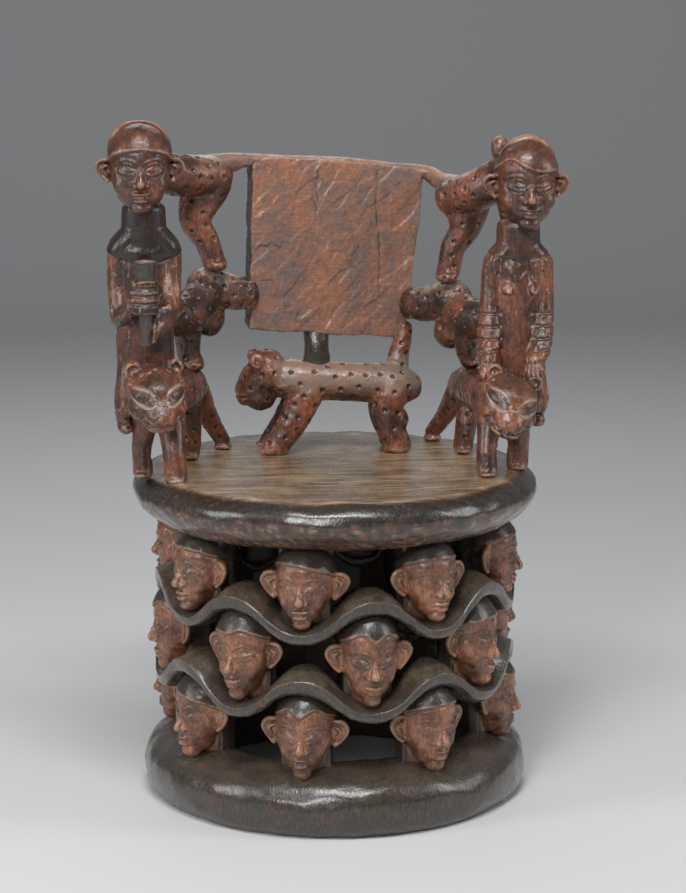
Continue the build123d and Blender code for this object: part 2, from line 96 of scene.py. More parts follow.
# %% Lumps to block out with
bpy.ops.mesh.primitive_ico_sphere_add(subdivisions=3, radius=1)
ROUND_LUMP = bpy.context.object.data.copy()
bpy.data.objects.remove(bpy.context.object)


def ball(at, radii, turn=(0, 0, 0)):
    """A copy of the round lump with its own mesh, squashed to its radii."""
    if isinstance(radii, (int, float)):
        radii = (radii, radii, radii)
    piece = bpy.data.objects.new("ball", ROUND_LUMP.copy())
    bpy.context.scene.collection.objects.link(piece)
    piece.location = place(*at)
    piece.rotation_euler = [math.radians(a) for a in turn]
    piece.scale = [r * MM for r in radii]
    return piece


def box(at, size, turn=(0, 0, 0)):
    """A block about its middle, turned in degrees."""
    bpy.ops.mesh.primitive_cube_add(size=1, location=place(*at), rotation=[math.radians(a) for a in turn])
    piece = bpy.context.object
    piece.scale = [s * MM for s in size]
    return piece


def soft_curve(points, steps):
    """Points on a smooth curve through the given ones, which may carry radii after x, y and z."""
    p = np.array(points, float)
    p = np.vstack([2 * p[0] - p[1], p, 2 * p[-1] - p[-2]])
    out = []
    for a, b, c, d in zip(p, p[1:], p[2:], p[3:]):
        for t in np.arange(steps) / steps:
            out.append(0.5 * (2 * b + (c - a) * t + (2 * a - 5 * b + 4 * c - d) * t**2
                              + (3 * b - a - 3 * c + d) * t**3))
    out.append(p[-2])
    return out


def limb(*points, steps=5):
    """A branch through points of x, y, z and one radius, or one for each direction."""
    full = [(*point[:3], *(point[3:] * (3 // len(point[3:])))) for point in points]
    longest = max(math.dist(a[:3], b[:3]) for a, b in zip(full, full[1:]))
    thinnest = min(min(point[3:]) for point in full)
    steps = max(steps, math.ceil(longest / (0.12 * thinnest + 0.8)))
    return [ball(spot[:3], spot[3:]) for spot in soft_curve(full, steps)]


print("a round lump has", len(ROUND_LUMP.vertices), "points")

# %% [markdown]
# Grown together, the lumps are joined and remeshed. The voxel size sets how fine a cut the
# surface can take, so it is about the width of the finest line. A few rounds of smoothing melt
# the seams between lumps, as sanding does.

# %% Grow lumps together
def flat_list(lumps):
    out = []
    for lump in lumps:
        out += flat_list(lump) if isinstance(lump, (list, tuple)) else [lump]
    return out


def grown(name, lumps, grain, rounds):
    """One piece from many lumps, with voxels of a size in millimetres and rounds of smoothing."""
    lumps = flat_list(lumps)
    bpy.context.view_layer.update()
    take_only(*lumps)
    bpy.ops.object.join()
    piece = bpy.context.object
    piece.name = name
    settle(piece)
    remesh = piece.modifiers.new("grow", "REMESH")
    remesh.mode = "VOXEL"
    remesh.voxel_size = grain * MM
    bpy.ops.object.modifier_apply(modifier="grow")
    smooth = piece.modifiers.new("melt", "SMOOTH")
    smooth.factor = 0.5
    smooth.iterations = rounds
    bpy.ops.object.modifier_apply(modifier="melt")
    return piece


print("growing ready")

# %% [markdown]
# Carving moves vertices. Each cut is written as a rule on the points: how deep the surface goes
# at each place. Numpy does that for all points at once, and the mesh gets them back.

# %% Read and write a mesh's points
def clamp(values):
    return np.clip(values, 0, 1)


def points_of(piece):
    """Points in millimetres about the seat's axis, and their normals."""
    mesh = piece.data
    co = np.empty(len(mesh.vertices) * 3, np.float32)
    mesh.vertices.foreach_get("co", co)
    normals = np.empty(len(mesh.vertices) * 3, np.float32)
    mesh.vertex_normals.foreach_get("vector", normals)
    co = co.reshape(-1, 3).astype(float) / MM - (AXIS_X, AXIS_Y, 0)
    return co, normals.reshape(-1, 3).astype(float)


def put_points(piece, co):
    co = ((co + (AXIS_X, AXIS_Y, 0)) * MM).astype(np.float32)
    piece.data.vertices.foreach_set("co", co.ravel())
    piece.data.update()


def paint(piece, layer, values):
    """Store one number per point, for the materials to read."""
    old = piece.data.attributes.get(layer)
    if old:
        piece.data.attributes.remove(old)
    attribute = piece.data.attributes.new(layer, "FLOAT", "POINT")
    attribute.data.foreach_set("value", clamp(values).astype(np.float32))


def painted(piece, layer):
    values = np.empty(len(piece.data.vertices), np.float32)
    piece.data.attributes[layer].data.foreach_get("value", values)
    return values.astype(float)


def fade(piece, layer, share):
    """Keep only a share of what a layer holds."""
    paint(piece, layer, painted(piece, layer) * share)


print("a share of 1.2 is kept at", clamp(1.2))

# %% [markdown]
# The cuts: a hand's unevenness, long knife facets, grooves and ridges along lines, and the
# hollows that a drill or a gouge leaves. Hollows and edges are measured afterwards by comparing each
# point with its neighbours, and stored, because dust gathers in the one and wear shows on the other.

# %% Cuts and wear
POINT_GAP_MM = 1.9


def uneven(co, size, seed):
    """Smooth unevenness between about -1 and 1, with bumps of the given size."""
    rng = np.random.default_rng(seed)
    waves = rng.normal(size=(10, 3))
    lengths = np.linalg.norm(waves, axis=1, keepdims=True)
    waves *= (2 * math.pi / size * rng.uniform(0.6, 1.4, (10, 1))) / lengths
    return np.sin(co @ waves.T + rng.uniform(0, 6.28, 10)).sum(1) / 4.5


def nearest_site(points, sites):
    """Which site is nearest to each point, and how far away; sites are picked from the points."""
    tree = KDTree(len(sites))
    for k, i in enumerate(sites):
        tree.insert(points[i], k)
    tree.balance()
    found = [tree.find(point)[1:] for point in points]
    return np.array(sites)[[k for k, _ in found]], np.array([away for _, away in found])


def knife_facets(co, normals, size, stretch, seed, strength):
    """Flatten the surface in patches, longer along the grain."""
    points_in_patch = max(8, (size / POINT_GAP_MM) ** 2 * 0.6)
    patches = max(1, int(len(co) / points_in_patch))
    centres = np.random.default_rng(seed).choice(len(co), patches, replace=False)
    c, _ = nearest_site(co / np.array(stretch), centres)
    lift = ((co[c] - co) * normals[c]).sum(1)
    lift = np.clip(lift, -0.12 * size, 0.12 * size)
    return co + normals[c] * (lift * strength)[:, None]


def cut_facets(piece, size, stretch, seed, strength):
    """Cut the facets into a piece; give back its points and the normals they were cut along."""
    co, normals = points_of(piece)
    co = knife_facets(co, normals, size, stretch, seed, strength)
    put_points(piece, co)
    return co, normals


def line_distance(co, line):
    """How far each point is from a line of short runs."""
    line = np.array(line, float)
    best = np.full(len(co), np.inf)
    for a, b in zip(line, line[1:]):
        run = b - a
        t = clamp(((co - a) @ run) / max(run @ run, 1e-9))
        best = np.minimum(best, np.linalg.norm(co - a - t[:, None] * run, axis=1))
    return best


def neighbour_mean(piece, values, rounds):
    """Values averaged with those of the points along each edge."""
    mesh = piece.data
    edges = np.empty(len(mesh.edges) * 2, np.int32)
    mesh.edges.foreach_get("vertices", edges)
    a, b = edges[0::2], edges[1::2]
    count = np.bincount(a, minlength=len(values)) + np.bincount(b, minlength=len(values))
    for _ in range(rounds):
        if values.ndim == 1:
            total = np.bincount(a, values[b], len(values)) + np.bincount(b, values[a], len(values))
            values = total / np.maximum(count, 1)
        else:
            values = np.stack([neighbour_mean(piece, values[:, k], 1) for k in range(values.shape[1])], 1)
    return values


BEND_OF_HOLLOW = 0.12
BEND_OF_EDGE = 0.28


def facing_up(normals, start=0.35):
    """0 on walls and below, and up to 1 where the surface looks up."""
    return clamp((normals[:, 2] - start) / 0.4)


def wear_and_dust(piece, reach=5):
    """Store how hollow and how exposed each point is, from its neighbours within a few edges."""
    co, normals = points_of(piece)
    mean = neighbour_mean(piece, co, reach)
    bend = ((mean - co) * normals).sum(1)
    bend = neighbour_mean(piece, bend, 1)
    paint(piece, "hollow", clamp((bend - BEND_OF_HOLLOW) / 0.40))
    paint(piece, "edge", clamp((-bend - BEND_OF_EDGE) / 0.45))


def finish_piece(piece, wood, *nodes, slot="red_brown_wood"):
    """Give a piece its wood, let it ride on the chair's body and stand for its solids."""
    piece.data.materials.append(wood)
    take_only(piece)
    bpy.ops.object.shade_smooth()
    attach(piece, "root")
    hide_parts(*nodes)
    print(piece.name, len(piece.data.polygons), "faces")


print("cuts ready")

# %% [markdown]
# The camera stands to the left of the chair's front, a little above it, and looks down. The shift
# moves the chair sideways in the view without turning the camera.

# %% Camera
CAMERA_DISTANCE = 3.2
CAMERA_HEIGHT = 1.081
CAMERA_TURN = math.radians(-6.0)
CAMERA_TILT = math.radians(10.876)
SENSOR_MM = 36
LONG_SIDE_PIXELS = 893
FOCAL_PIXELS = 2410.7
SHIFT_PIXELS = 8.375

camera_data = bpy.data.cameras.new("camera")
camera = bpy.data.objects.new("camera", camera_data)
bpy.context.scene.collection.objects.link(camera)
camera.location = place(
    CAMERA_DISTANCE * math.sin(CAMERA_TURN) / MM,
    -CAMERA_DISTANCE * math.cos(CAMERA_TURN) / MM,
    CAMERA_HEIGHT / MM,
)
camera.rotation_euler = (math.pi / 2 - CAMERA_TILT, 0, CAMERA_TURN)
camera_data.sensor_width = SENSOR_MM
camera_data.lens = FOCAL_PIXELS / LONG_SIDE_PIXELS * SENSOR_MM
camera_data.shift_x = SHIFT_PIXELS / LONG_SIDE_PIXELS
bpy.context.scene.camera = camera
print("camera at", [round(v, 3) for v in camera.location])

# %% [markdown]
# Materials need few tools: a colour from its hex code, and one function that adds a node, sets it
# and links it.

# %% Tools for materials
def colour(code):
    """A linear colour from an sRGB hex code."""
    parts = [int(code[i : i + 2], 16) / 255 for i in (1, 3, 5)]
    return tuple(p / 12.92 if p <= 0.04045 else ((p + 0.055) / 1.055) ** 2.4 for p in parts) + (1.0,)


def new_material(name):
    material = bpy.data.materials.new(name)
    material.use_nodes = True
    material.node_tree.nodes.clear()
    return material


def node(material, kind, links=None, **settings):
    """Add a node; settings go to its sockets or attributes, and links name the sockets they feed."""
    made = material.node_tree.nodes.new(kind)
    for key, value in settings.items():
        if hasattr(made, key):
            setattr(made, key, value)
        else:
            made.inputs[key.replace("_", " ")].default_value = value
    for key, source in (links or {}).items():
        material.node_tree.links.new(source, made.inputs[key])
    return made


print("the backdrop's paper is", [round(c, 3) for c in colour("#d6d6d6")])

# %% [markdown]
# The studio: a pale floor that runs up into a backdrop, a large soft lamp above the front, and
# weaker ones at the sides. The lamps are wide, so that polished wood shows broad, soft lights.

# %% Floor, backdrop and lamps
bpy.ops.mesh.primitive_plane_add(size=1, location=(0, 1.5, 0))
floor = bpy.context.object
floor.name = "studio_floor"
floor.scale = (14, 11, 1)
settle(floor)
bpy.ops.object.mode_set(mode="EDIT")
bpy.ops.mesh.select_all(action="DESELECT")
bpy.ops.object.mode_set(mode="OBJECT")
for edge in floor.data.edges:
    edge.select = all(floor.data.vertices[v].co.y > 5 for v in edge.vertices)
bpy.ops.object.mode_set(mode="EDIT")
bpy.ops.mesh.select_mode(type="EDGE")
bpy.ops.mesh.extrude_region_move(TRANSFORM_OT_translate={"value": (0, 0, 6)})
bpy.ops.object.mode_set(mode="OBJECT")
bend = floor.modifiers.new("cove", "BEVEL")
bend.width = 2.5
bend.segments = 24
bpy.ops.object.modifier_apply(modifier="cove")
bpy.ops.object.shade_smooth()

paper = new_material("studio_paper")
paper_shader = node(paper, "ShaderNodeBsdfPrincipled", Base_Color=colour("#d6d6d6"), Roughness=0.9)
node(paper, "ShaderNodeOutputMaterial", {"Surface": paper_shader.outputs[0]})
floor.data.materials.append(paper)


def lamp(name, at, aim, size, watts):
    light = bpy.data.lights.new(name, "AREA")
    light.shape = "RECTANGLE"
    light.size, light.size_y = size
    light.energy = watts
    piece = bpy.data.objects.new(name, light)
    bpy.context.scene.collection.objects.link(piece)
    piece.location = at
    piece.rotation_euler = (Vector(aim) - Vector(at)).to_track_quat("-Z", "Y").to_euler()


lamp("top", (-0.1, -1.4, 2.9), (0, 0, 0.45), (1.3, 0.40), 46)
lamp("front", (-1.1, -2.9, 2.0), (0, 0, 0.45), (0.7, 0.7), 38)
lamp("left", (-2.5, -0.9, 1.5), (0, 0, 0.5), (0.8, 1.4), 22)
lamp("right", (2.5, -0.8, 1.6), (0, 0, 0.5), (0.8, 1.4), 20)
lamp("back", (0.0, 2.6, 2.6), (0, 0, 0.6), (2.0, 1.0), 14)
world = bpy.data.worlds.new("studio")
bpy.context.scene.world = world
world.use_nodes = True
world.node_tree.nodes["Background"].inputs["Color"].default_value = colour("#c8ccd2")
world.node_tree.nodes["Background"].inputs["Strength"].default_value = 0.26
bpy.context.scene.view_settings.view_transform = "Standard"
print("lamps and floor ready")

# %% [markdown]
# All the wood is one hardwood, but it doesn't look it: heads and beasts are red-brown where hands
# have rubbed them, hair, bands and rims were smoked and oiled nearly black, and the seat has gone
# grey. One function builds them all. It lays fine grain along the log, patches of tone over it,
# pale dust in hollows and a warmer, lighter wear on edges, and a paint layer that a piece may
# store chooses between its red and its black parts. The seat's open grain is really about 1 mm
# wide, too fine to show at this distance, so it is drawn coarser, at 4.5 mm, and shows as lines.

# %% Carved wood
GRAIN_WIDTH_MM = 1.1
GRAIN_LENGTH_MM = 38.0
COARSE_GRAIN_MM = 4.5
COARSE_GRAIN_STRETCH = 16
PATCH_MM = 42.0
SPECK_MM = 8.0
KNIFE_MM = 12.0
WARM_WOOD = "#74402d"


def mixed(m, factor, under, over):
    """Lay a colour, given as a hex code or as a socket, over another one."""
    made = node(m, "ShaderNodeMix", data_type="RGBA")
    for socket, value in ((0, factor), (6, under), (7, over)):
        if isinstance(value, str):
            made.inputs[socket].default_value = colour(value)
        elif isinstance(value, float):
            made.inputs[socket].default_value = value
        else:
            m.node_tree.links.new(value, made.inputs[socket])
    return made.outputs[2]


def ranged(m, value, low, high, bottom=0.0, top=1.0):
    made = node(m, "ShaderNodeMapRange", {"Value": value}, From_Min=low, From_Max=high,
                To_Min=bottom, To_Max=top)
    return made.outputs[0]


def product(m, first, second):
    return node(m, "ShaderNodeMath", {0: first, 1: second}, operation="MULTIPLY").outputs[0]


def rest_of(m, share):
    """One, less a share."""
    made = node(m, "ShaderNodeMath", {1: share}, operation="SUBTRACT")
    made.inputs[0].default_value = 1.0
    return made.outputs[0]


def stored(m, layer):
    """What a piece has stored for each of its points, or 0."""
    return node(m, "ShaderNodeAttribute", attribute_name=layer).outputs["Fac"]


def noise_at(m, where, size, detail=4.0, roughness=0.6, stretch=(1, 1, 1)):
    """Noise with features of a size in millimetres, stretched by a factor along each axis."""
    scale = [1 / (size * MM * k) for k in stretch]
    space = node(m, "ShaderNodeMapping", {"Vector": where}, Scale=scale)
    noise = node(m, "ShaderNodeTexNoise", {"Vector": space.outputs[0]}, Scale=1.0, Detail=detail,
                 Roughness=roughness)
    return noise.outputs["Fac"]


def carved_wood(name, red, red_deep, black, dust, worn, grain_axis="Z", gloss=0.40, dust_amount=0.5,
                wear_amount=0.5, streaks=0.35, pale_lines=0.0, show_through=0.0, coat=0.35,
                cut_tone=0.22, grain_width=GRAIN_WIDTH_MM, stain=0.55):
    """A wood by its tones: two reds, the black, the dust in hollows and the wear on edges."""
    m = new_material(name)
    where = node(m, "ShaderNodeTexCoord").outputs["Object"]
    coarse = grain_width == COARSE_GRAIN_MM
    long = COARSE_GRAIN_STRETCH if coarse else GRAIN_LENGTH_MM / GRAIN_WIDTH_MM
    stretch = {"X": (long, 1, 1), "Z": (1, 1, long)}[grain_axis]
    grain = noise_at(m, where, 1.8 * grain_width, 4.0, 0.6, stretch)
    patches = noise_at(m, where, PATCH_MM, 5.0, 0.62)
    specks = noise_at(m, where, SPECK_MM)
    cuts_in_metre = 1 / (KNIFE_MM * MM)
    knife_scale = (cuts_in_metre, cuts_in_metre, cuts_in_metre / 2)
    knife_space = node(m, "ShaderNodeMapping", {"Vector": where}, Scale=knife_scale)
    facets = node(m, "ShaderNodeTexVoronoi", {"Vector": knife_space.outputs[0]}, feature="SMOOTH_F1",
                  Smoothness=0.3)
    cells = node(m, "ShaderNodeTexVoronoi", {"Vector": knife_space.outputs[0]}, feature="F1")
    cell_tone = node(m, "ShaderNodeSeparateColor", {"Color": cells.outputs["Color"]}).outputs[0]

    reds = mixed(m, ranged(m, patches, 0.38, 0.62), red_deep, red)
    stained = mixed(m, ranged(m, specks, 0.46, 0.70, 0.0, stain), reds, black)
    stained = mixed(m, stored(m, "warm"), stained, WARM_WOOD)
    black_here = stored(m, "black")
    if show_through:
        fine = noise_at(m, where, 2.6, 5.0, 0.7, (1, 1, 5))
        worn_through = product(m, ranged(m, fine, 0.50, 0.62),
                               ranged(m, patches, 0.36, 0.58, 0.15, show_through))
        black_here = product(m, black_here, rest_of(m, worn_through))
    base = mixed(m, black_here, stained, black)
    fibre = product(m, ranged(m, grain, 0.3, 0.72, 1 - streaks, 1 + streaks),
                    ranged(m, cell_tone, 0.0, 1.0, 1 - cut_tone, 1 + cut_tone))
    grained = node(m, "ShaderNodeVectorMath", {0: base}, operation="SCALE")
    m.node_tree.links.new(fibre, grained.inputs["Scale"])
    edge = stored(m, "edge")
    rubbed = mixed(m, ranged(m, product(m, edge, specks), 0.10, 0.50, 0.0, wear_amount),
                   grained.outputs[0], worn)
    hollow = stored(m, "hollow")
    settled = ranged(m, product(m, hollow, patches), 0.18, 0.52, 0.0, dust_amount)
    skin = mixed(m, settled, rubbed, dust)
    if pale_lines:
        pores = noise_at(m, where, 1.7 * grain_width, 5.0, 0.7, stretch)
        bare = rest_of(m, black_here)
        skin = mixed(m, product(m, ranged(m, pores, 0.50, 0.62, 0.0, pale_lines), bare), skin, worn)
    pale_here = stored(m, "pale")
    skin = mixed(m, pale_here, skin, dust)

    dull = product(m, pale_here, settled)
    sheen = ranged(m, specks, 0.3, 0.7, gloss - 0.08, gloss + 0.12)
    rough = node(m, "ShaderNodeMath", {0: dull, 1: sheen}, operation="ADD", use_clamp=True)
    cuts = node(m, "ShaderNodeBump", {"Height": facets.outputs["Distance"]}, Strength=0.22, Distance=0.0015)
    fibres = node(m, "ShaderNodeBump", {"Height": grain, "Normal": cuts.outputs[0]}, Strength=0.35,
                  Distance=0.0007)
    links = {"Base Color": skin, "Roughness": rough.outputs[0], "Normal": fibres.outputs[0]}
    shader = node(m, "ShaderNodeBsdfPrincipled", links, IOR=1.5, Coat_Weight=coat, Coat_Roughness=0.27)
    node(m, "ShaderNodeOutputMaterial", {"Surface": shader.outputs[0]})
    return m


# Hands have rubbed this red wood to a low shine, so the eye sees warm cheeks and blackened cuts.
red_wood = carved_wood(
    "rubbed_red_hardwood", red="#9c674c", red_deep="#5b3828", black="#37302a", dust="#a9855f",
    worn="#bd8c6a", gloss=0.32, cut_tone=0.24, coat=0.45)
# Old oil has browned this wood. Its cuts differ most in tone, so the eye can count the strokes.
figure_wood = carved_wood(
    "oiled_brown_hardwood", red="#8e543b", red_deep="#43281d", black="#211b17", dust="#a3917f",
    worn="#b98a6c", gloss=0.34, cut_tone=0.30, coat=0.40)
# Smoke and oil made a hard black skin. It gives the eye clear lights, and red shows where it wore.
black_wood = carved_wood(
    "smoked_black_hardwood", red="#7a4632", red_deep="#43302a", black="#35322a", dust="#857b69",
    worn="#95846e", gloss=0.24, dust_amount=0.15, show_through=0.6, coat=0.8, cut_tone=0.26)
print("wood ready:", red_wood.name, black_wood.name)

# %% [markdown]
# The base ring and the seat are turned forms, so each is spun from half of its section, as on a
# lathe. The carver had only an adze and a knife, so the finished form is then made uneven.

# %% Spun forms
WELD = 0.00005


def spun(name, section, steps):
    """Spin a section of radius and height about the seat's axis."""
    mesh = bpy.data.meshes.new(name)
    edges = [(i, i + 1) for i in range(len(section) - 1)]
    mesh.from_pydata([tuple(place(r, 0, z)) for r, z in section], edges, [])
    piece = bpy.data.objects.new(name, mesh)
    bpy.context.scene.collection.objects.link(piece)
    take_only(piece)
    bpy.ops.object.mode_set(mode="EDIT")
    bpy.ops.mesh.select_all(action="SELECT")
    bpy.ops.mesh.spin(steps=steps, angle=2 * math.pi, center=place(0, 0, 0), axis=(0, 0, 1))
    bpy.ops.mesh.select_all(action="SELECT")
    bpy.ops.mesh.remove_doubles(threshold=WELD)
    bpy.ops.mesh.normals_make_consistent(inside=False)
    bpy.ops.object.mode_set(mode="OBJECT")
    return piece


def rounded(points, step):
    """A soft section line through points, with one point every few millimetres."""
    line = []
    for a, b in zip(points, points[1:]):
        pieces = max(1, round(math.dist(a, b) / step))
        line += [(a[0] + (b[0] - a[0]) * t / pieces, a[1] + (b[1] - a[1]) * t / pieces)
                 for t in range(pieces)]
    line.append(points[-1])
    line = np.array(line)
    for _ in range(6):
        line[1:-1] = 0.25 * line[:-2] + 0.5 * line[1:-1] + 0.25 * line[2:]
    return [tuple(p) for p in line]


RING_TOP = ring_high[2] * 1000
RING_RADIUS = (ring_high[0] - ring_low[0]) * 500
BORE = 184
ring_section = rounded(
    [(BORE, 2), (BORE, RING_TOP + 6), (BORE + 8, RING_TOP + 12), (222, RING_TOP + 2), (246, RING_TOP - 9),
     (RING_RADIUS - 3, 52), (RING_RADIUS, 32), (RING_RADIUS - 2, 14), (RING_RADIUS - 10, 1),
     (RING_RADIUS - 20, 0), (BORE + 10, 0), (BORE, 2)], 4)
ring_section[0] = ring_section[-1]
base_ring = spun("base_ring_carved", ring_section, 288)
print("ring radius", round(RING_RADIUS, 1), "mm")

# %% [markdown]
# The waves: eight to a turn, and each head sits in a trough. The top and the bottom row stand on
# the same bearings, and the middle row half a pitch round.

# %% The waves' layout
HEADS = 8
PITCH = 360 / HEADS
FIRST_BEARING = -16.4
ROWS = {"top": FIRST_BEARING, "middle": FIRST_BEARING + PITCH / 2, "bottom": FIRST_BEARING}
UPPER_TROUGH = 271
LOWER_TROUGH = 167
BAND_RISE = 51
TROUGH_THICK = 18
CREST_THICK = 31


def wave(bearing, trough_bearing):
    """Height above the trough, from 0 to 1, at a bearing in degrees."""
    t = np.linspace(0, 1, 200)
    x = 3 * (1 - t) ** 2 * t * 0.45 + 3 * (1 - t) * t**2 * 0.55 + t**3
    z = 3 * (1 - t) * t**2 + t**3
    share = np.abs((np.asarray(bearing) - trough_bearing + PITCH / 2) % PITCH - PITCH / 2) / (PITCH / 2)
    return np.interp(share, x, z)


def bearing_of(co):
    """Degrees round the drum from its front."""
    return np.degrees(np.arctan2(co[:, 0], -co[:, 1]))


crest_bearing = FIRST_BEARING + PITCH / 2
print("trough and crest:", wave(FIRST_BEARING, FIRST_BEARING), wave(crest_bearing, FIRST_BEARING))

# %% [markdown]
# Each band starts as a torus, which already has the right topology: a closed tube round the
# drum. Its section is reshaped into a ribbon with a ridge at its outer side, and then the whole
# tube is lifted into waves.

# %% Wavy bands
BAND_INNER = 188
BAND_OUTER = 244


def wavy_band(name, trough_top, trough_bearing, seed):
    """A band whose upper side is at trough_top where it dips, at every trough's bearing."""
    middle = (BAND_INNER + BAND_OUTER) / 2
    bpy.ops.mesh.primitive_torus_add(
        location=place(0, 0, 0), major_radius=middle * MM, minor_radius=20 * MM,
        major_segments=480, minor_segments=48)
    piece = settle(bpy.context.object)
    piece.name = name
    co, _ = points_of(piece)
    bearing = bearing_of(co)
    radius = np.hypot(co[:, 0], co[:, 1])
    turn = np.arctan2(co[:, 2], radius - middle)
    rise = wave(bearing, trough_bearing)
    thick = TROUGH_THICK + (CREST_THICK - TROUGH_THICK) * rise + 2
    across = np.sign(np.cos(turn)) * np.abs(np.cos(turn)) ** 0.7
    up = np.sign(np.sin(turn)) * np.abs(np.sin(turn)) ** 0.65
    ridge = np.exp(-((turn - 0.55) ** 2) / 0.06) * 3.0
    outward = across * (BAND_OUTER - BAND_INNER) / 2 + ridge
    slope = clamp(across) * clamp(up) * thick * (0.10 + 0.20 * rise)
    height = trough_top + BAND_RISE * rise - thick / 2 + up * thick / 2 - slope
    new_radius = middle + outward + uneven(co, 60, seed) * 1.2
    angle = np.radians(bearing)
    height += uneven(co, 75, seed + 1) * 1.5
    co = np.stack([new_radius * np.sin(angle), -new_radius * np.cos(angle), height], 1)
    put_points(piece, co)
    co, normals = cut_facets(piece, 14, (1.6, 1.6, 0.8), seed + 2, 0.55)
    co += normals * uneven(co, 9, seed + 3)[:, None] * 0.25
    put_points(piece, co)
    wear_and_dust(piece)
    fade(piece, "edge", 0.42)
    co, normals = points_of(piece)
    above = facing_up(normals)
    paint(piece, "black", np.full(len(co), 1.0))
    paint(piece, "pale", 0.10 * above * clamp(0.7 + 0.4 * uneven(co, 35, seed + 4)))
    return piece


band_upper = wavy_band("wavy_band_upper_carved", UPPER_TROUGH, ROWS["top"], 11)
band_lower = wavy_band("wavy_band_lower_carved", LOWER_TROUGH, ROWS["middle"], 21)
for band, cad_node in ((band_upper, "wavy_band_upper"), (band_lower, "wavy_band_lower")):
    finish_piece(band, black_wood, cad_node, slot="dark_wood")

# %% [markdown]
# The ring gets a shallow scoop under every chin of the bottom row, as the carver left it when
# the head was cut free, and pale wood shows there.

# %% Base ring
co, normals = points_of(base_ring)
co[:, 2] += uneven(co, 90, 3) * 1.5 * (co[:, 2] > 20)
co += normals * (uneven(co, 50, 4) * 1.0)[:, None] * (co[:, 2] > 2)[:, None]
scoops = np.zeros(len(co))
for n in range(HEADS):
    a = math.radians(ROWS["bottom"] + n * PITCH)
    chin = np.array([232 * math.sin(a), -232 * math.cos(a), RING_TOP + 4])
    away = np.linalg.norm((co - chin) / (20, 20, 18), axis=1)
    scoops = np.maximum(scoops, clamp(1.15 - away))
co[:, 2] -= scoops * 5
put_points(base_ring, co)
co, normals = cut_facets(base_ring, 15, (1.8, 1.8, 0.9), 5, 0.45)
co += normals * (uneven(co * (0.4, 0.4, 1.8), 6, 6) * 0.3)[:, None]
co[:, 2] = np.maximum(co[:, 2], 0)
put_points(base_ring, co)
wear_and_dust(base_ring)
fade(base_ring, "edge", 0.06)
paint(base_ring, "black", np.full(len(co), 1.0))
above = facing_up(normals, 0.5)
dusty = 0.14 * above * clamp(0.7 + 0.4 * uneven(co, 40, 7))
paint(base_ring, "pale", np.maximum(dusty, np.clip(scoops * 1.4 - 0.45, 0, 0.6)))
finish_piece(base_ring, black_wood, "base_ring", slot="dark_wood")

# %% [markdown]
# The seat is the same kind of form. Its rim is a fat roll, bevelled below, and its top is a shallow
# dish with the long pale lines of weathered grain.

# %% Seat
SEAT_RADIUS = (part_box("seat_disc")[1][0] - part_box("seat_disc")[0][0]) * 500
SEAT_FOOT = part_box("seat_disc")[0][2] * 1000
seat_section = rounded(
    [(0, SEAT_FOOT), (120, SEAT_FOOT), (236, SEAT_FOOT), (250, SEAT_FOOT + 8), (266, SEAT_FOOT + 23),
     (SEAT_RADIUS - 1, SEAT_FOOT + 36), (SEAT_RADIUS - 3, SEAT_FOOT + 50), (SEAT_RADIUS - 14, SEAT_TOP - 6),
     (SEAT_RADIUS - 26, SEAT_TOP), (SEAT_RADIUS - 60, SEAT_TOP - 2), (120, SEAT_TOP - 3),
     (0, SEAT_TOP - 3)], 4)
seat = spun("seat_disc_carved", seat_section, 320)
co, normals = points_of(seat)
radius = np.hypot(co[:, 0], co[:, 1])
rim = clamp((radius - 200) / 50)
co[:, 2] += uneven(co, 120, 31) * 1.2
co += normals * (uneven(co, 60, 32) * 1.3 * rim)[:, None]
put_points(seat, co)
co, normals = cut_facets(seat, 16, (2.0, 2.0, 0.8), 33, 0.4)
ripple = uneven(co * (0.3, 0.3, 1.8), 6, 34) * 0.5 * rim * (normals[:, 2] < 0.6)
co += normals * ripple[:, None]
put_points(seat, co)
wear_and_dust(seat)
print("seat", round(SEAT_RADIUS * 2), "mm across,", round(SEAT_TOP), "mm high")

# %% [markdown]
# Sitting has rubbed the polish off the seat's top, and the open grain holds pale dust in long
# lines from side to side. Round the feet of the leopards it was never rubbed, so there it is
# paler still. The rim keeps its smoked black.

# %% Seat's finish
FEET = [(-260, -50), (-218, -97), (-192, 70), (-142, 138), (193, -95), (241, -53), (186, 74), (167, 174),
        (-68, 92), (97, 96), (-68, 140), (97, 140)]
co, normals = points_of(seat)
radius = np.hypot(co[:, 0], co[:, 1])
on_top = clamp((normals[:, 2] - 0.55) / 0.3) * clamp((SEAT_RADIUS - 20 - radius) / 9)
near_feet = np.zeros(len(co))
for x, y in FEET:
    away = np.hypot(co[:, 0] - x, (co[:, 1] - y) / 1.2)
    near_feet = np.maximum(near_feet, clamp(1.25 - away / 30))
near_feet *= clamp(0.75 + 0.5 * uneven(co, 25, 41)) * on_top
below = clamp((0.25 - normals[:, 2]) / 0.4) * clamp(0.35 + 1.1 * uneven(co * (1, 1, 0.3), 9, 42))
paint(seat, "black", (1 - on_top) * (1 - 0.6 * below))
paint(seat, "warm", 1 - on_top)
paint(seat, "pale", near_feet * 0.45)
for layer in ("hollow", "edge"):
    fade(seat, layer, on_top)
# Bare wood that has weathered grey: the eye sees long pale lines of grain beside a glossy black rim.
seat_wood = carved_wood(
    "weathered_grey_hardwood", red="#9a8266", red_deep="#65523f", black="#282520", dust="#b9a07c",
    worn="#cdb48c", grain_axis="X", gloss=0.27, dust_amount=0.3, wear_amount=0.25, pale_lines=0.65,
    show_through=0.2, coat=0.8, cut_tone=0.12, stain=0.3, streaks=0.45,
    grain_width=COARSE_GRAIN_MM)
finish_piece(seat, seat_wood, "seat_disc", slot="dark_wood")

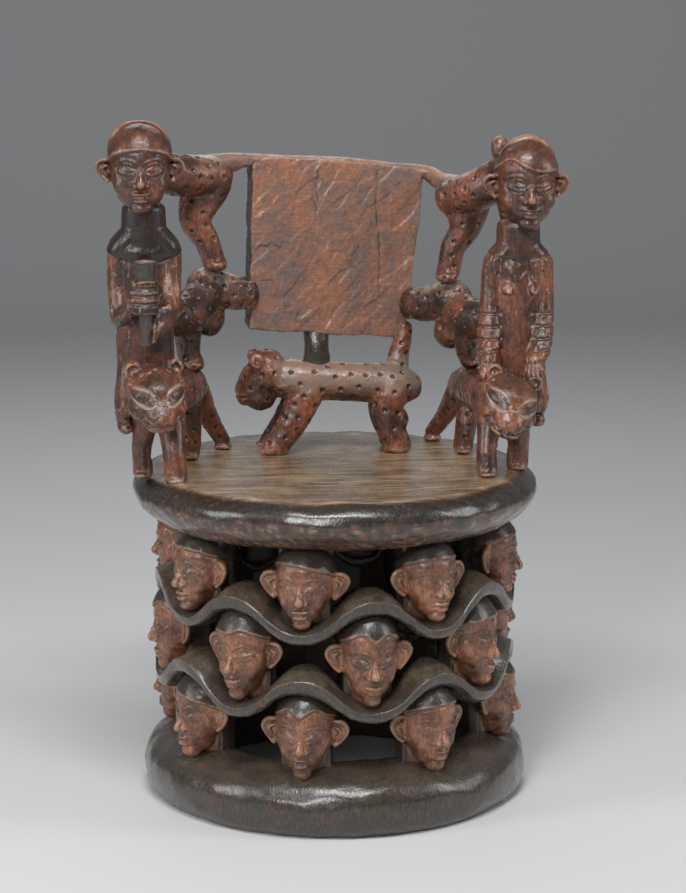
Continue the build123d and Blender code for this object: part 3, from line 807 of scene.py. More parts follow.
# %% [markdown]
# The heads are the heart of the drum. Each is blocked out as a carver would: a skull, a jaw that
# narrows to the chin, cheeks, a wedge for the nose, two lips, and ears that stand out like cups.
# Behind it a block of wood runs back to the drum's inside. Four kinds of cap go round the rows.
# The lumps are written for a head 118 mm tall, and are stretched to what a row has room for.

# %% Lump of a head
WRITTEN_HEIGHT = 118
EYES_ABOVE_CHIN = 56
HEAD_Y = -207.0
WALL_Y = -197
NEAR_BLOCK = 33
FAR_BLOCK = 80
FAR_SIDE = 104


def head_lumps(foot, crown, wide=1.0, jaw=1.0, ear=0.95, block=0):
    """A head that faces the front, between the heights of its chin and of its crown."""
    t = (crown - foot) / WRITTEN_HEIGHT
    z = foot + EYES_ABOVE_CHIN * t
    w, y = wide, HEAD_Y
    j = w * jaw
    lumps = [
        ball((0, y, z + 18 * t), (38 * w, 42, 42 * t)),
        ball((0, y - 14, z + 24 * t), (34 * w, 27, 24 * t)),
        ball((0, y - 8, z - 2 * t), (37 * w, 34, 32 * t)),
        ball((0, y - 12, z - 24 * t), (26 * j, 27, 23 * t)),
        ball((0, y - 22, z - 43 * t), (13 * j, 15, 11 * t)),
        ball((17 * j, y - 20, z - 14 * t), (13 * j, 14, 15 * t)),
        ball((-17 * j, y - 20, z - 14 * t), (13 * j, 14, 15 * t)),
        limb((0, y - 37, z + 12 * t, 3.8), (0, y - 41, z - 2 * t, 4.6), (0, y - 45, z - 12 * t, 6.0),
             steps=4),
        ball((6, y - 40, z - 14 * t), (5, 5, 4)),
        ball((-6, y - 40, z - 14 * t), (5, 5, 4)),
        ball((0, y - 36, z - 27.0 * t), (12, 7, 4.2)),
        ball((0, y - 35, z - 33.5 * t), (10.5, 7, 4.4)),
    ]
    for side in (-1, 1):
        lumps += ear_lumps(side * (w * 42 - 2), y - 4, z + 4 * t, side, ear)
    if block:
        lumps.append(limb((0, y + 16, foot + 8, 32, 22, 12), (0, y + 16, 0.5 * (foot + crown), 32, 22, 16),
                          (0, y + 16, crown - 8, 32, 22, 12), steps=7))
        lumps.append(box((0, WALL_Y, 0.5 * (foot + crown)), (2 * block, 15, crown - foot + 2)))
    return lumps


def ear_lumps(x, y, z, side, k):
    """A cup of an ear: a fan that narrows down to the lobe, with a ridge inside it."""
    rim = limb((x, y - 2, z + 16 * k, 3.4 * k), (x + side * 11 * k, y - 1, z + 14 * k, 3.8 * k),
               (x + side * 16 * k, y, z + 4 * k, 3.6 * k), (x + side * 9 * k, y - 1, z - 9 * k, 3.2 * k),
               (x, y - 3, z - 17 * k, 3.8 * k), steps=6)
    ridge = limb((x + side * k, y - 3, z + 7 * k, 2.5 * k), (x + side * 8 * k, y - 3, z + 3 * k, 2.7 * k),
                 (x + side * k, y - 3, z - 8 * k, 2.5 * k), steps=3)
    plate = ball((x + side * 4 * k, y + 4, z + k), (12 * k, 3.5 * k, 15 * k), turn=(0, 0, -side * 20))
    root = ball((x - side * 5 * k, y + 5, z - 1), (9 * k, 9 * k, 14 * k))
    return [rim, ridge, plate, root]


print("heads look out from", abs(HEAD_Y), "mm, and the wall behind them stands at", abs(WALL_Y), "mm")

# %% [markdown]
# The features are carved as a relief seen from the front: sockets that sink, eyeballs that rise,
# almond rims round them, brows that are cut as arcs, and lips with a slit between. Each is a soft
# rule of the sideways and upward distance from its middle. They are plain, calm and even, as a
# pattern face, and no two heads get quite the same.

# %% Relief of a face
def almond(u, v, half_wide, half_high):
    """0 in the middle of an almond, 1 on its rim, more outside."""
    u = u / half_wide
    lid = np.clip(1 - np.abs(u) ** 1.7, 0.02, 1) ** 0.8
    return np.maximum(np.abs(v) / (half_high * lid), np.abs(u))


def bump(distance, width):
    return np.exp(-((distance / width) ** 2))


def face_relief(u, v, size, eye_tilt=8, eye_open=1.0, smile=0.0):
    """How far a face rises at u sideways and v upwards of its eyes' level, and where its lines are."""
    u, v = u / size, v / size
    a = np.abs(u)
    lift = -4.0 * np.exp(-((((a - 17) / 13) ** 2 + (v / 9.5) ** 2) ** 1.5))
    tilt = math.radians(eye_tilt)
    eu = (a - 17) * math.cos(tilt) + v * math.sin(tilt)
    ev = -(a - 17) * math.sin(tilt) + v * math.cos(tilt)
    rim = almond(eu, ev, 13.5, 8.2 * eye_open)
    lift += 4.2 * clamp(1 - rim**2) ** 0.6
    lift += 2.4 * bump(rim - 1.20, 0.15) * (rim < 2)
    lid = bump(ev + 1.5 - 0.03 * eu**2, 0.9) * (rim < 0.8)
    round_eye = bump(rim - 0.93, 0.09)
    lift -= 1.3 * lid + 1.8 * round_eye
    brow = 15.0 - 0.030 * (a - 18) ** 2
    on_brow = clamp((a - 4) / 2) * clamp((34 - a) / 3)
    brow_cuts = np.maximum(bump(v - brow - 2.6, 0.9), bump(v - brow + 2.4, 0.9)) * on_brow
    lift += 1.2 * bump(v - brow, 2.6) * on_brow - 1.6 * brow_cuts
    mouth = -31 + smile * a**2 / 60
    slit = bump(v - mouth, 1.1) * (a < 12)
    under_lip = 1.4 * bump(v - mouth + 9.5, 2.0) * (a < 10)
    lift -= 3.0 * slit + under_lip + 0.9 * bump(v - mouth - 8.5, 1.8) * (a < 4)
    wing = bump(np.hypot(a - 11.5, v + 16) - 5.5, 1.2) * (v > -20) * (a > 10)
    lift -= 1.2 * wing
    eyeball = 0.5 * clamp(1 - rim**2) ** 0.5
    return lift * size, np.maximum.reduce([0.9 * round_eye, eyeball, 0.8 * brow_cuts, slit, 0.4 * wing])


def carve_face(co, normals, centre, level, size, **face):
    """Raise and cut a face on the side that looks to the front, and say how dark its lines are."""
    u, v = co[:, 0] - centre[0], co[:, 2] - level
    facing = clamp((-normals[:, 1] - 0.1) / 0.3) * (co[:, 1] < centre[1])
    near = clamp(2 * (1.6 - np.hypot(u / (40 * size), v / (52 * size)))) * facing
    lift, lines = face_relief(u, v, size, **face)
    co = co.copy()
    co[:, 1] -= lift * near
    return co, lines * near


eye_lift, _ = face_relief(np.array([17.0]), np.array([0.0]), 1.0)
print("the middle of an eye rises", round(float(eye_lift[0]), 2), "mm")

# %% [markdown]
# Hair and caps are one step proud of the brow, so the carver cut round the hairline and
# lowered the face. A hairline is a height for every place across the brow. On the drum it comes
# level, peaked on both sides, raked, or with a notch; the riders have an arch and a swoop.

# %% Hairlines
def hairline(kind, u, back):
    """Height of the hair's edge above the eyes, at u across the brow, falling towards the neck."""
    level = 31 - 0.0035 * u**2
    if kind == "peak":
        level = 27 + 7.5 * np.exp(-((np.abs(u) - 17) / 10.0) ** 2) - 2 * np.exp(-((u / 5) ** 2))
    if kind == "raked":
        level = 29 - 0.16 * u - 0.004 * u**2
    if kind == "notch":
        level = 27 + 6 * np.exp(-((u - 14) / 12.0) ** 2) + 1.5 * np.exp(-((u + 20) / 10.0) ** 2)
    if kind == "arch":
        level = 25 - 0.006 * u**2
    if kind == "swoop":
        level = 24 + 9 * np.exp(-(((u + 24) / 12) ** 2)) - 6 * np.exp(-(((u - 18) / 22) ** 2))
    return level - np.clip(back, 0, 60) * 0.30


def carve_hair(co, normals, centre, level, size, kind, rise):
    """Raise the hair by a step, cut round it, and say how black each point is."""
    u = co[:, 0] - centre[0]
    back = (co[:, 1] - centre[1] + 26 * size) / size
    edge = hairline(kind, u / size, back) * size + level
    above = clamp((co[:, 2] - edge) / 1.6 + 0.5)
    ears = clamp((np.abs(u) - 37.0 * size) / 3)
    hair = above * (1 - ears)
    co = co + normals * (hair * rise)[:, None]
    line = bump(co[:, 2] - edge + 0.6, 1.1) * (1 - ears) * (back < 70)
    co -= normals * (line * 0.9)[:, None]
    return co, hair


def carve_head(piece, middle, level, size, features, brim, rise, stroke, seed):
    """Carve face, hair and knife facets, and say where the points, the hair and the lines are."""
    co, normals = points_of(piece)
    co, lines = carve_face(co, normals, (middle[0], middle[1] + 4), level, size, **features)
    put_points(piece, co)
    co, normals = points_of(piece)
    co, hair = carve_hair(co, normals, middle, level, size, brim, rise)
    put_points(piece, co)
    co, _ = cut_facets(piece, stroke, (1, 1, 1.5), seed, 0.22)
    wear_and_dust(piece)
    return co, hair, neighbour_mean(piece, lines, 1)


for kind in ("level", "peak", "raked", "notch", "arch", "swoop"):
    print(kind, "hairline:", round(float(hairline(kind, 0.0, 0.0)), 1), "mm above the eyes")

# %% [markdown]
# A finished head is remeshed, carved, faceted with the knife and measured for wear. The rows
# need three heights, since each row fills its own gap. Each row has six patterns: the four caps,
# and two with a broader block behind them for the far side. Copies go round the drum with their
# own meshes, and each is pushed about a little, as a hand would.

# %% Carve the patterns
ROW_SPAN = {
    "top": (UPPER_TROUGH - 1, SEAT_FOOT + 6),
    "middle": (LOWER_TROUGH - 1, UPPER_TROUGH + BAND_RISE - CREST_THICK + 5),
    "bottom": (RING_TOP - 6, LOWER_TROUGH + BAND_RISE - CREST_THICK + 5),
}
KINDS = ("level", "peak", "raked", "notch")
FACES = {
    "level": dict(eye_tilt=10, eye_open=0.95, smile=0.10),
    "peak": dict(eye_tilt=14, eye_open=0.85, smile=0.25),
    "raked": dict(eye_tilt=8, eye_open=0.80, smile=0.15),
    "notch": dict(eye_tilt=9, eye_open=0.90, smile=0.05),
}


def head_pattern(row, kind, block, seed):
    """A head to be copied: its row's height, its cap, and how broad its block is."""
    foot, crown = ROW_SPAN[row]
    piece = grown(f"pattern_{row}_{kind}", head_lumps(foot, crown, block=block), grain=1.76, rounds=4)
    level = foot + EYES_ABOVE_CHIN * ((crown - foot) / WRITTEN_HEIGHT) + 3
    co, hair, lines = carve_head(piece, (0, HEAD_Y), level, 1.0, FACES[kind], kind, 3.0, 9, seed)
    side = np.abs(co[:, 0])
    grey_ear = clamp((side - 42) / 6) * clamp((co[:, 2] - level - 2) / 12) * (co[:, 1] < HEAD_Y + 12)
    # Painted shade: the back of the head and its block face the drum's inside, so they are painted nearly
    # black there and get no wear.
    inside_shade = clamp((co[:, 1] + 212) / 8)
    paint(piece, "black", np.maximum.reduce([hair, 0.7 * grey_ear, 0.9 * lines, 0.9 * inside_shade]))
    paint(piece, "pale", 0.3 * grey_ear)
    fade(piece, "edge", 1 - inside_shade)
    return piece


def copy_round(pattern, name, bearing, seed):
    """A copy of a head on its own bearing, nudged as a hand would."""
    piece = pattern.copy()
    piece.data = pattern.data.copy()
    piece.name = name
    bpy.context.scene.collection.objects.link(piece)
    co, _ = points_of(piece)
    for axis in range(3):
        co[:, axis] += uneven(co, 70, seed + axis) * 0.9
    a = math.radians(bearing)
    x = co[:, 0] * math.cos(a) - co[:, 1] * math.sin(a)
    y = co[:, 0] * math.sin(a) + co[:, 1] * math.cos(a)
    put_points(piece, np.stack([x, y, co[:, 2]], 1))
    return piece


KIND_ORDER = {"top": "raked level notch raked level peak notch level".split(),
              "middle": "peak level notch peak level raked peak notch".split(),
              "bottom": "peak level raked level notch peak level raked".split()}
for r, row in enumerate(ROWS):
    patterns = {kind: head_pattern(row, kind, NEAR_BLOCK, 50 + 7 * r + k) for k, kind in enumerate(KINDS)}
    for k, kind in enumerate(("level", "peak")):
        patterns["far " + kind] = head_pattern(row, kind, FAR_BLOCK, 56 + 7 * r + k)
    for n, kind in enumerate(KIND_ORDER[row]):
        bearing = ROWS[row] + n * PITCH
        if math.cos(math.radians(bearing)) < math.cos(math.radians(FAR_SIDE)):
            kind = "far level" if n % 2 else "far peak"
        head = copy_round(patterns[kind], f"head_{row}_{n + 1}_carved", bearing, 200 + 20 * n + r)
        finish_piece(head, red_wood, f"head_{row}_{n + 1}")
    for pattern in patterns.values():
        bpy.data.objects.remove(pattern)
print("24 heads round the drum")

# %% [markdown]
# A figure's head looks its own way, so its lumps are laid out about the log's axis, facing the front,
# and then turned and moved together. Carving undoes the same turn, works on the face from the
# front, and turns the points back.

# %% Turn and move lumps
def turned(yaw=0.0, tilt=0.0, roll=0.0):
    """A head's turn: tilt tips the face down, roll leans it sideways, yaw looks to the side."""
    return Euler((math.radians(tilt), math.radians(roll), math.radians(yaw)), "XYZ").to_matrix()


def posed(lumps, at, turn):
    move = Matrix.Translation(place(*at)) @ turn.to_4x4() @ Matrix.Translation(-place(0, 0, 0))
    lumps = flat_list(lumps)
    bpy.context.view_layer.update()
    for lump in lumps:
        lump.matrix_world = move @ lump.matrix_world
    return lumps


def to_head(co, at, turn):
    return (co - np.array(at)) @ np.array(turn)


def from_head(co, at, turn):
    return co @ np.array(turn).T + np.array(at)


print("a head tipped by 20 degrees looks along", turned(tilt=20) @ Vector((0, -1, 0)))

# %% [markdown]
# Every leopard's hide is drilled all over with shallow dimples, a finger's width apart. They are
# spread so that no two come too near, and each is dark inside with a faint raised lip.

# %% Dimples
def spread_points(co, spacing, seed, allowed):
    chosen = []
    for i in np.random.default_rng(seed).permutation(np.flatnonzero(allowed))[:5000]:
        if not chosen or np.min(((co[chosen] - co[i]) ** 2).sum(1)) > spacing**2:
            chosen.append(i)
    return chosen


def dimpled(piece, seed, allowed, spacing=16.0, radius=3.6, depth=2.6):
    """Drill the dimples, keep dust out of them, and say how dark each point gets."""
    co, normals = points_of(piece)
    _, away = nearest_site(co, spread_points(co, spacing, seed, allowed))
    share = away / radius
    cut = depth * clamp(1 - share**2) ** 0.7 - 0.1 * bump(share - 1.35, 0.3)
    put_points(piece, co - normals * cut[:, None])
    dark = clamp(1.35 - share)
    wear_and_dust(piece)
    fade(piece, "hollow", 1 - dark)
    return dark


def groove(co, normals, line, width, depth):
    """Cut a groove along a line, and say how deep into it each point is, from 0 to 1."""
    inside = bump(line_distance(co, line), width)
    return co - normals * (depth * inside)[:, None], inside


print("dimples and grooves ready")

# %% [markdown]
# The leopards that stand on the seat look out to the front. Their heads are wedges: a broad
# crown, a muzzle that runs down to a blunt nose, and round ears hollowed from the front.

# %% Head of a seat leopard
def beast_head_lumps(k):
    """A leopard's head about its own middle, k times the written size."""
    lumps = [
        ball((0, 14 * k, 2 * k), (41 * k, 36 * k, 32 * k)),
        ball((0, -8 * k, 0), (38 * k, 33 * k, 28 * k)),
        ball((22 * k, -12 * k, -14 * k), (18 * k, 24 * k, 17 * k)),
        ball((-22 * k, -12 * k, -14 * k), (18 * k, 24 * k, 17 * k)),
        limb((0, -18 * k, -4 * k, 31 * k, 21 * k, 20 * k), (0, -36 * k, -12 * k, 24 * k, 17 * k, 15 * k),
             (0, -50 * k, -19 * k, 18 * k, 11 * k, 11 * k)),
        limb((0, -10 * k, -26 * k, 28 * k, 22 * k, 13 * k), (0, -38 * k, -33 * k, 20 * k, 15 * k, 9 * k)),
    ]
    for side in (-1, 1):
        turn = (0, side * 18, -side * 14)
        lumps.append(ball((side * 28 * k, 16 * k, 27 * k), (12 * k, 8 * k, 12.5 * k), turn))
    return lumps


def beast_relief(u, v, k):
    """How far a leopard's face rises, seen from its front."""
    u, v = u / k, v / k
    a = np.abs(u)
    lift = np.zeros(len(u))
    tilt = math.radians(15)
    eu = (a - 22) * math.cos(tilt) + (v - 5) * math.sin(tilt)
    ev = -(a - 22) * math.sin(tilt) + (v - 5) * math.cos(tilt)
    rim = almond(eu, ev, 18.0, 8.8)
    lift -= 3.6 * clamp(1.25 - rim) ** 0.7
    lift += 4.8 * clamp(1 - rim**2) ** 0.8
    lift += 2.8 * bump(rim - 1.16, 0.16) * (rim < 2)
    lift -= 1.8 * bump(rim - 0.84, 0.08)
    lift -= 1.8 * bump(np.hypot(a - 5.5, v + 15), 2.6)
    return lift * k, rim


def ear_hollow(co, k):
    """0 outside the ears' hollows, up to 1 in their middles."""
    a = np.abs(co[:, 0])
    away = np.hypot(a - 29 * k, co[:, 2] - 28 * k) / (7.2 * k)
    return clamp(1.2 - away) * (co[:, 1] < 18 * k)


print("leopard heads ready")

# %% [markdown]
# The body is a trunk on four straight legs. The two seat leopards differ in their stance and in
# how they hold their heads, so those are written down for each, as places on the seat.

# %% Seat leopards
CLOSED = dict(half=[(-34, 2, -26), (-28, -26, -30), (-18, -46, -33), (0, -56, -34)], wide=2.0, deep=3.4)
OPEN = dict(half=[(-36, 0, -16), (-28, -26, -22), (-18, -46, -28), (0, -56, -30)], wide=3.6, deep=7.0)
SEAT_LEOPARDS = {
    "left": dict(
        head=(-243, -106, 563), look=turned(yaw=7, tilt=12, roll=-2), wide=41.5, lips=CLOSED,
        spine=[(-190, 108, 532, 19), (-194, 84, 540, 27), (-206, 26, 542, 28), (-236, -52, 548, 31),
               (-243, -84, 556, 30)],
        legs=[[(-254, -58, 528, 19), (-261, -52, 480, 13), (-260, -50, 450, 13)],
              [(-224, -66, 528, 20), (-220, -88, 482, 15.5), (-218, -95, 450, 15)],
              [(-196, 76, 526, 22), (-192, 64, 486, 16), (-192, 68, 452, 14)],
              [(-184, 98, 528, 21), (-164, 118, 488, 14), (-144, 138, 452, 11)]],
        paws=[(-260, -54, 445), (-218, -100, 445), (-192, 63, 445), (-143, 136, 444)]),
    "right": dict(
        head=(219, -108, 545), look=turned(yaw=2, tilt=10, roll=17), wide=42, lips=OPEN,
        spine=[(196, 126, 522, 18), (196, 102, 530, 26), (204, 36, 534, 28), (214, -50, 538, 31),
               (217, -84, 543, 30)],
        legs=[[(202, -66, 520, 19), (194, -86, 480, 13.5), (193, -93, 450, 14)],
              [(236, -58, 520, 20), (242, -52, 480, 15), (241, -50, 450, 15)],
              [(200, 90, 518, 21), (192, 72, 484, 15.5), (187, 72, 452, 14)],
              [(188, 116, 516, 20), (172, 144, 480, 13), (158, 170, 452, 10.5)]],
        paws=[(193, -98, 445), (241, -55, 445), (187, 67, 445), (158, 169, 444)]),
}


def seat_leopard(side):
    plan = SEAT_LEOPARDS[side]
    k = plan["wide"] / 43
    lumps = [limb(*plan["spine"])]
    lumps += [limb(*bones) for bones in plan["legs"]]
    lumps += [ball(paw, (13, 15, 5)) for paw in plan["paws"]]
    hx, hy, hz = plan["head"]
    lumps.append(limb((*plan["spine"][-2][:3], 30), (hx, hy + 16, hz, 31)))
    lumps += posed(beast_head_lumps(k), plan["head"], plan["look"])
    piece = grown(f"seat_leopard_{side}_carved", lumps, grain=1.7, rounds=9)
    co, normals = cut_facets(piece, 17, (1, 1, 2.2), 71, 0.5)
    head = to_head(co, plan["head"], plan["look"])
    facing = clamp((-(normals @ np.array(plan["look"]))[:, 1] + 0.05) / 0.3)
    facing *= (head[:, 1] < 6) * (head[:, 1] > -70)
    facing *= (np.abs(head[:, 0]) < 44) * (head[:, 2] > -30 * k)
    relief, rim = beast_relief(head[:, 0], head[:, 2], k)
    head[:, 1] -= relief * facing
    hollow = ear_hollow(head, k)
    head[:, 1] += 7 * k * hollow
    co = from_head(head, plan["head"], plan["look"])
    put_points(piece, co)
    co, normals = points_of(piece)
    lips = plan["lips"]
    both_sides = lips["half"] + [(-x, y, z) for x, y, z in lips["half"][-2::-1]]
    line = from_head(np.array(both_sides, float) * k, plan["head"], plan["look"])
    co, mouth = groove(co, normals, line, lips["wide"], lips["deep"])
    put_points(piece, co)
    head = to_head(co, plan["head"], plan["look"])
    on_face = (head[:, 1] < -4) & (head[:, 2] > -36) & (head[:, 2] < 40) & (np.abs(head[:, 0]) < 46)
    low = co[:, 2] < SEAT_TOP + 18
    front_legs = (co[:, 1] < -36) & (co[:, 2] < 520)
    dark = dimpled(piece, 75, ~on_face & ~low & ~front_legs)
    co, normals = points_of(piece)
    above = facing_up(normals)
    rims = bump(rim - 1.18, 0.24) * facing
    eyes = 0.6 * (rim < 0.9) * facing
    legs = 0.55 * front_legs * clamp(0.4 + uneven(co, 30, 77))
    black = np.maximum.reduce([dark * 0.9, mouth * 0.9, hollow * 0.7, 0.35 * above, eyes, legs])
    paint(piece, "black", clamp(black - 0.6 * rims))
    feet_dust = clamp(1 - (co[:, 2] - SEAT_TOP) / 12) * clamp(0.5 + uneven(co, 14, 78))
    paint(piece, "pale", np.maximum(0.8 * rims, 0.6 * feet_dust))
    finish_piece(piece, figure_wood, f"seat_leopard_{side}")


for side in SEAT_LEOPARDS:
    seat_leopard(side)

# %% [markdown]
# The leopards behind the riders are knotted into the back: the middle ones bite the panel's edges,
# and the top ones stand on them with one bent hind leg and run into the rail. Little of their
# foreparts shows, but they are carved all the same.

# %% Upper leopards
def upper_leopard(name, lumps, seed, dusty_at):
    """Grow, dimple and stain a leopard, with pale dust about one place on its back."""
    piece = grown(name + "_carved", lumps, grain=1.7, rounds=9)
    co, _ = cut_facets(piece, 17, (1, 1, 2.2), seed, 0.5)
    dark = dimpled(piece, seed + 1, np.ones(len(co), bool))
    co, normals = points_of(piece)
    above = facing_up(normals)
    stained = (0.75 if name.startswith("middle") else 0.2) * clamp(0.7 + 0.5 * uneven(co, 35, seed + 3))
    paint(piece, "black", np.maximum.reduce([0.95 * dark, 0.3 * above, stained]))
    away = np.linalg.norm(co - np.array(dusty_at[:3]), axis=1)
    patch = clamp(1.4 - away / dusty_at[3]) * above * clamp(0.9 + 0.5 * uneven(co, 12, seed + 2))
    paint(piece, "pale", 0.85 * patch * (1 - dark))
    finish_piece(piece, figure_wood, name)


def middle_leopard_lumps(o, head, bite, chest, back, foot):
    """o is -1 on the left and 1 on the right; the places are the carving's own."""
    hx, hy, hz = head
    bx, by, bz = bite
    return [
        limb((*back, 20), (0.5 * (back[0] + chest[0]), 0.5 * (back[1] + chest[1]), chest[2], 26),
             (*chest, 29), (hx + 12 * o, hy - 8, hz - 8, 26)),
        ball((hx + 8 * o, hy - 3, hz + 3), (29, 28, 27)),
        limb((hx + 2 * o, hy, hz + 1, 25, 25, 27), (0.5 * (hx + bx), 0.5 * (hy + by), hz - 6, 22, 23, 25),
             (bx - 4 * o, by, bz - 1, 14, 22, 22)),
        box((bx + 9 * o, by, bz - 1), (36, 36, 39), turn=(0, 0, 9)),
        ball((hx + 8 * o, hy - 3, hz - 42), (24, 24, 25)),
        ball((hx + 12 * o, hy - 1, hz - 24), (23, 22, 24)),
        ball((hx + 14 * o, hy - 24, hz + 14), (9, 6, 11), turn=(0, 20 * o, 0)),
        ball((hx + 10 * o, hy + 20, hz + 16), (9, 6, 11), turn=(0, 20 * o, 0)),
        limb((*chest, 22), (chest[0] - 1 * o, chest[1] + 2, 590, 16), (*foot, 15)),
        ball((foot[0], foot[1] - 3, foot[2] - 2), (16, 19, 10)),
    ]


def top_leopard_lumps(o, rump, hip, knee, shin, foot, head, fore):
    """The hind leg is flat and broad at the hip, bends outwards at the knee and ends in a paw."""
    rx, ry, rz = rump
    hx, hy, hz = head
    return [
        limb((rx - 14 * o, ry + 6, rz + 2, 16, 17, 17), (rx, ry, rz - 2, 27, 26, 27),
             (0.5 * (rx + hx), 0.5 * (ry + hy), 0.5 * (rz + hz) - 4, 29), (hx, hy, hz, 27)),
        ball((hx + 2 * o, hy - 8, hz + 2), (28, 26, 28)),
        limb((rx + 2 * o, ry, rz - 4, 33, 22, 26), (*hip, 33, 20, 24), (*knee, 22, 17, 20),
             (*shin, 17, 16, 18), (*foot, 16, 17, 16)),
        ball((foot[0] - 3 * o, foot[1] - 6, foot[2] - 6), (16, 18, 9)),
        limb((hx, hy, hz - 8, 20), (fore[0], fore[1] + 20, 0.5 * (hz + fore[2]), 15), (*fore, 14)),
    ]


UPPER_LEOPARDS = [
    ("middle_leopard_left", 81, (-163, 94, 692, 34), middle_leopard_lumps,
     (-1, (-157, 98, 672), (-112, 99, 664), (-194, 58, 642), (-246, 0, 638), (-188, 62, 574))),
    ("middle_leopard_right", 84, (160, 94, 668, 34), middle_leopard_lumps,
     (1, (164, 98, 650), (122, 128, 644), (190, 60, 632), (236, 0, 630), (196, 72, 572))),
    ("top_leopard_left", 87, (-158, 80, 860, 30), top_leopard_lumps,
     (-1, (-160, 84, 828), (-168, 82, 806), (-181, 80, 768), (-166, 82, 738), (-157, 84, 712),
      (-246, 34, 838), (-252, 6, 724))),
    ("top_leopard_right", 90, (190, 80, 826, 30), top_leopard_lumps,
     (1, (178, 84, 796), (190, 82, 782), (188, 80, 752), (172, 82, 724), (166, 84, 692),
      (236, 34, 828), (244, 6, 696))),
]
for name, seed, dusty_at, lumps_of, places in UPPER_LEOPARDS:
    upper_leopard(name, lumps_of(*places), seed, dusty_at)

# %% [markdown]
# The centre leopard is seen from its side. Its back is almost straight and polished by hands, its
# legs stride, and the broad tail climbs to the panel's lower corner. Its pale upper back is partly
# that polish and partly a painted highlight.

# %% Centre leopard
CENTRE_Y = 116
y = CENTRE_Y
centre_lumps = [
    limb((118, y, 528, 17, 20, 20), (98, y, 530, 26, 30, 29), (58, y, 534, 28, 30, 28),
         (0, y, 538, 28, 29, 28), (-36, y, 538, 28, 31, 31), (-60, y, 542, 26, 28, 28)),
    ball((-82, y, 552), (28, 31, 32)),
    limb((-84, y, 548, 26, 30, 30), (-102, y, 536, 20, 26, 26), (-114, y, 524, 13, 21, 19)),
    ball((-92, y, 522), (24, 24, 25)),
    ball((-112, y, 516), (13, 18, 9)),
    limb((98, y + 4, 512, 18, 14, 18), (99, y + 5, 540, 18, 13, 16), (102, y + 8, 566, 15, 12, 16),
         (108, y + 14, 588, 13, 12, 14), (111, y + 20, 606, 13, 12, 12)),
]
for s in (-1, 1):
    centre_lumps += [
        ball((-98, y + s * 27, 570), (10, 6, 11)),
        limb((-28, y + s * 17, 526, 26, 15, 24), (-50, y + s * 24, 482, 21, 13, 20),
             (-72, y + s * 26, 450, 19, 13, 14)),
        ball((-76, y + s * 26, 445), (21, 13, 6)),
        limb((90, y + s * 17, 526, 25, 16, 26), (84, y + s * 24, 490, 21, 13, 20),
             (98, y + s * 26, 450, 19, 13, 14)),
        ball((103, y + s * 24, 485), (10, 11, 15)),
        ball((97, y + s * 26, 445), (19, 13, 6)),
    ]
centre = grown("centre_leopard_carved", centre_lumps, grain=1.7, rounds=9)
co, normals = cut_facets(centre, 17, (1.6, 1, 1), 95, 0.5)
mouth_line = [(-70, y - 34, 512), (-100, y - 30, 517), (-122, y - 16, 519), (-128, y, 520),
              (-122, y + 16, 519), (-100, y + 30, 517), (-70, y + 34, 512)]
co, mouth = groove(co, normals, mouth_line, 1.6, 2.6)
ear = clamp(1.2 - np.linalg.norm((co - (-98, y - 32, 570)) / (5.5, 20, 6.5), axis=1))
co += normals * (-3.0 * ear)[:, None]
put_points(centre, co)
on_hide = (co[:, 2] > SEAT_TOP + 14) & (ear < 0.05)
dark = dimpled(centre, 96, on_hide, spacing=16.5, radius=3.7, depth=2.8)
co, normals = points_of(centre)
# The pale upper back is partly hand polish and partly a painted highlight where the back looks up.
polish_and_highlight = clamp((co[:, 2] - 520 + 8 * uneven(co, 30, 98)) / 14) * clamp((normals[:, 2] + 0.5) / 0.4)
paint(centre, "black", np.maximum.reduce([0.95 * dark, 0.8 * mouth, 0.6 * ear]))
at_foot = clamp(1 - (co[:, 2] - SEAT_TOP) / 7) * clamp(0.5 + uneven(co, 14, 97))
on_back = (co[:, 0] > -76) * clamp((578 - co[:, 2]) / 12)
paint(centre, "pale", np.maximum(0.6 * at_foot, 0.5 * polish_and_highlight * (1 - dark) * on_back))
finish_piece(centre, figure_wood, "centre_leopard")

# %% [markdown]
# The riders sit upright. A rider is a torso, a thick neck, legs that hang down along the beast's
# neck, and two arms. The left one grips a horn cup with one hand and steadies its foot with the
# other; the right one reaches down to the leopard's head.

# %% Riders' bodies
RIDERS = {
    "left": dict(x=-254, y=-40, hip=588, shoulder=754, collar=(30, 14, 0)),
    "right": dict(x=240, y=-40, hip=582, shoulder=728, collar=(4, 10, 4)),
}
CUP = (-254, -92, 621, 731)


def torso_lumps(x, y, hip, top):
    tall = top - hip
    lumps = [
        limb((x, y, hip - 34, 35, 27, 24), (x, y, hip + 8, 38, 28, 26),
             (x, y, hip + 0.45 * tall, 37, 26, 28), (x, y, hip + 0.75 * tall, 37, 27, 26),
             (x, y, top - 17, 38, 25, 18)),
        limb((x, y, top - 16, 34, 26, 18), (x, y, top + 6, 29, 26, 14), (x, y, top + 38, 27, 26, 12)),
        ball((x, y, top - 16), (46, 27, 21)),
    ]
    for s in (-1, 1):
        shoulder = limb((x + s * 16, y, top + 8, 15, 22, 12), (x + s * 28, y, top - 8, 16, 22, 14),
                        (x + s * 33, y, top - 20, 15, 19, 17))
        leg = limb((x + s * 17, y - 2, hip - 6, 21), (x + s * 26, y - 14, hip - 46, 15),
                   (x + s * 27, y - 4, 518, 12))
        lumps += [shoulder, leg, ball((x + s * 27, y - 12, 508), (11, 17, 9))]
    return lumps


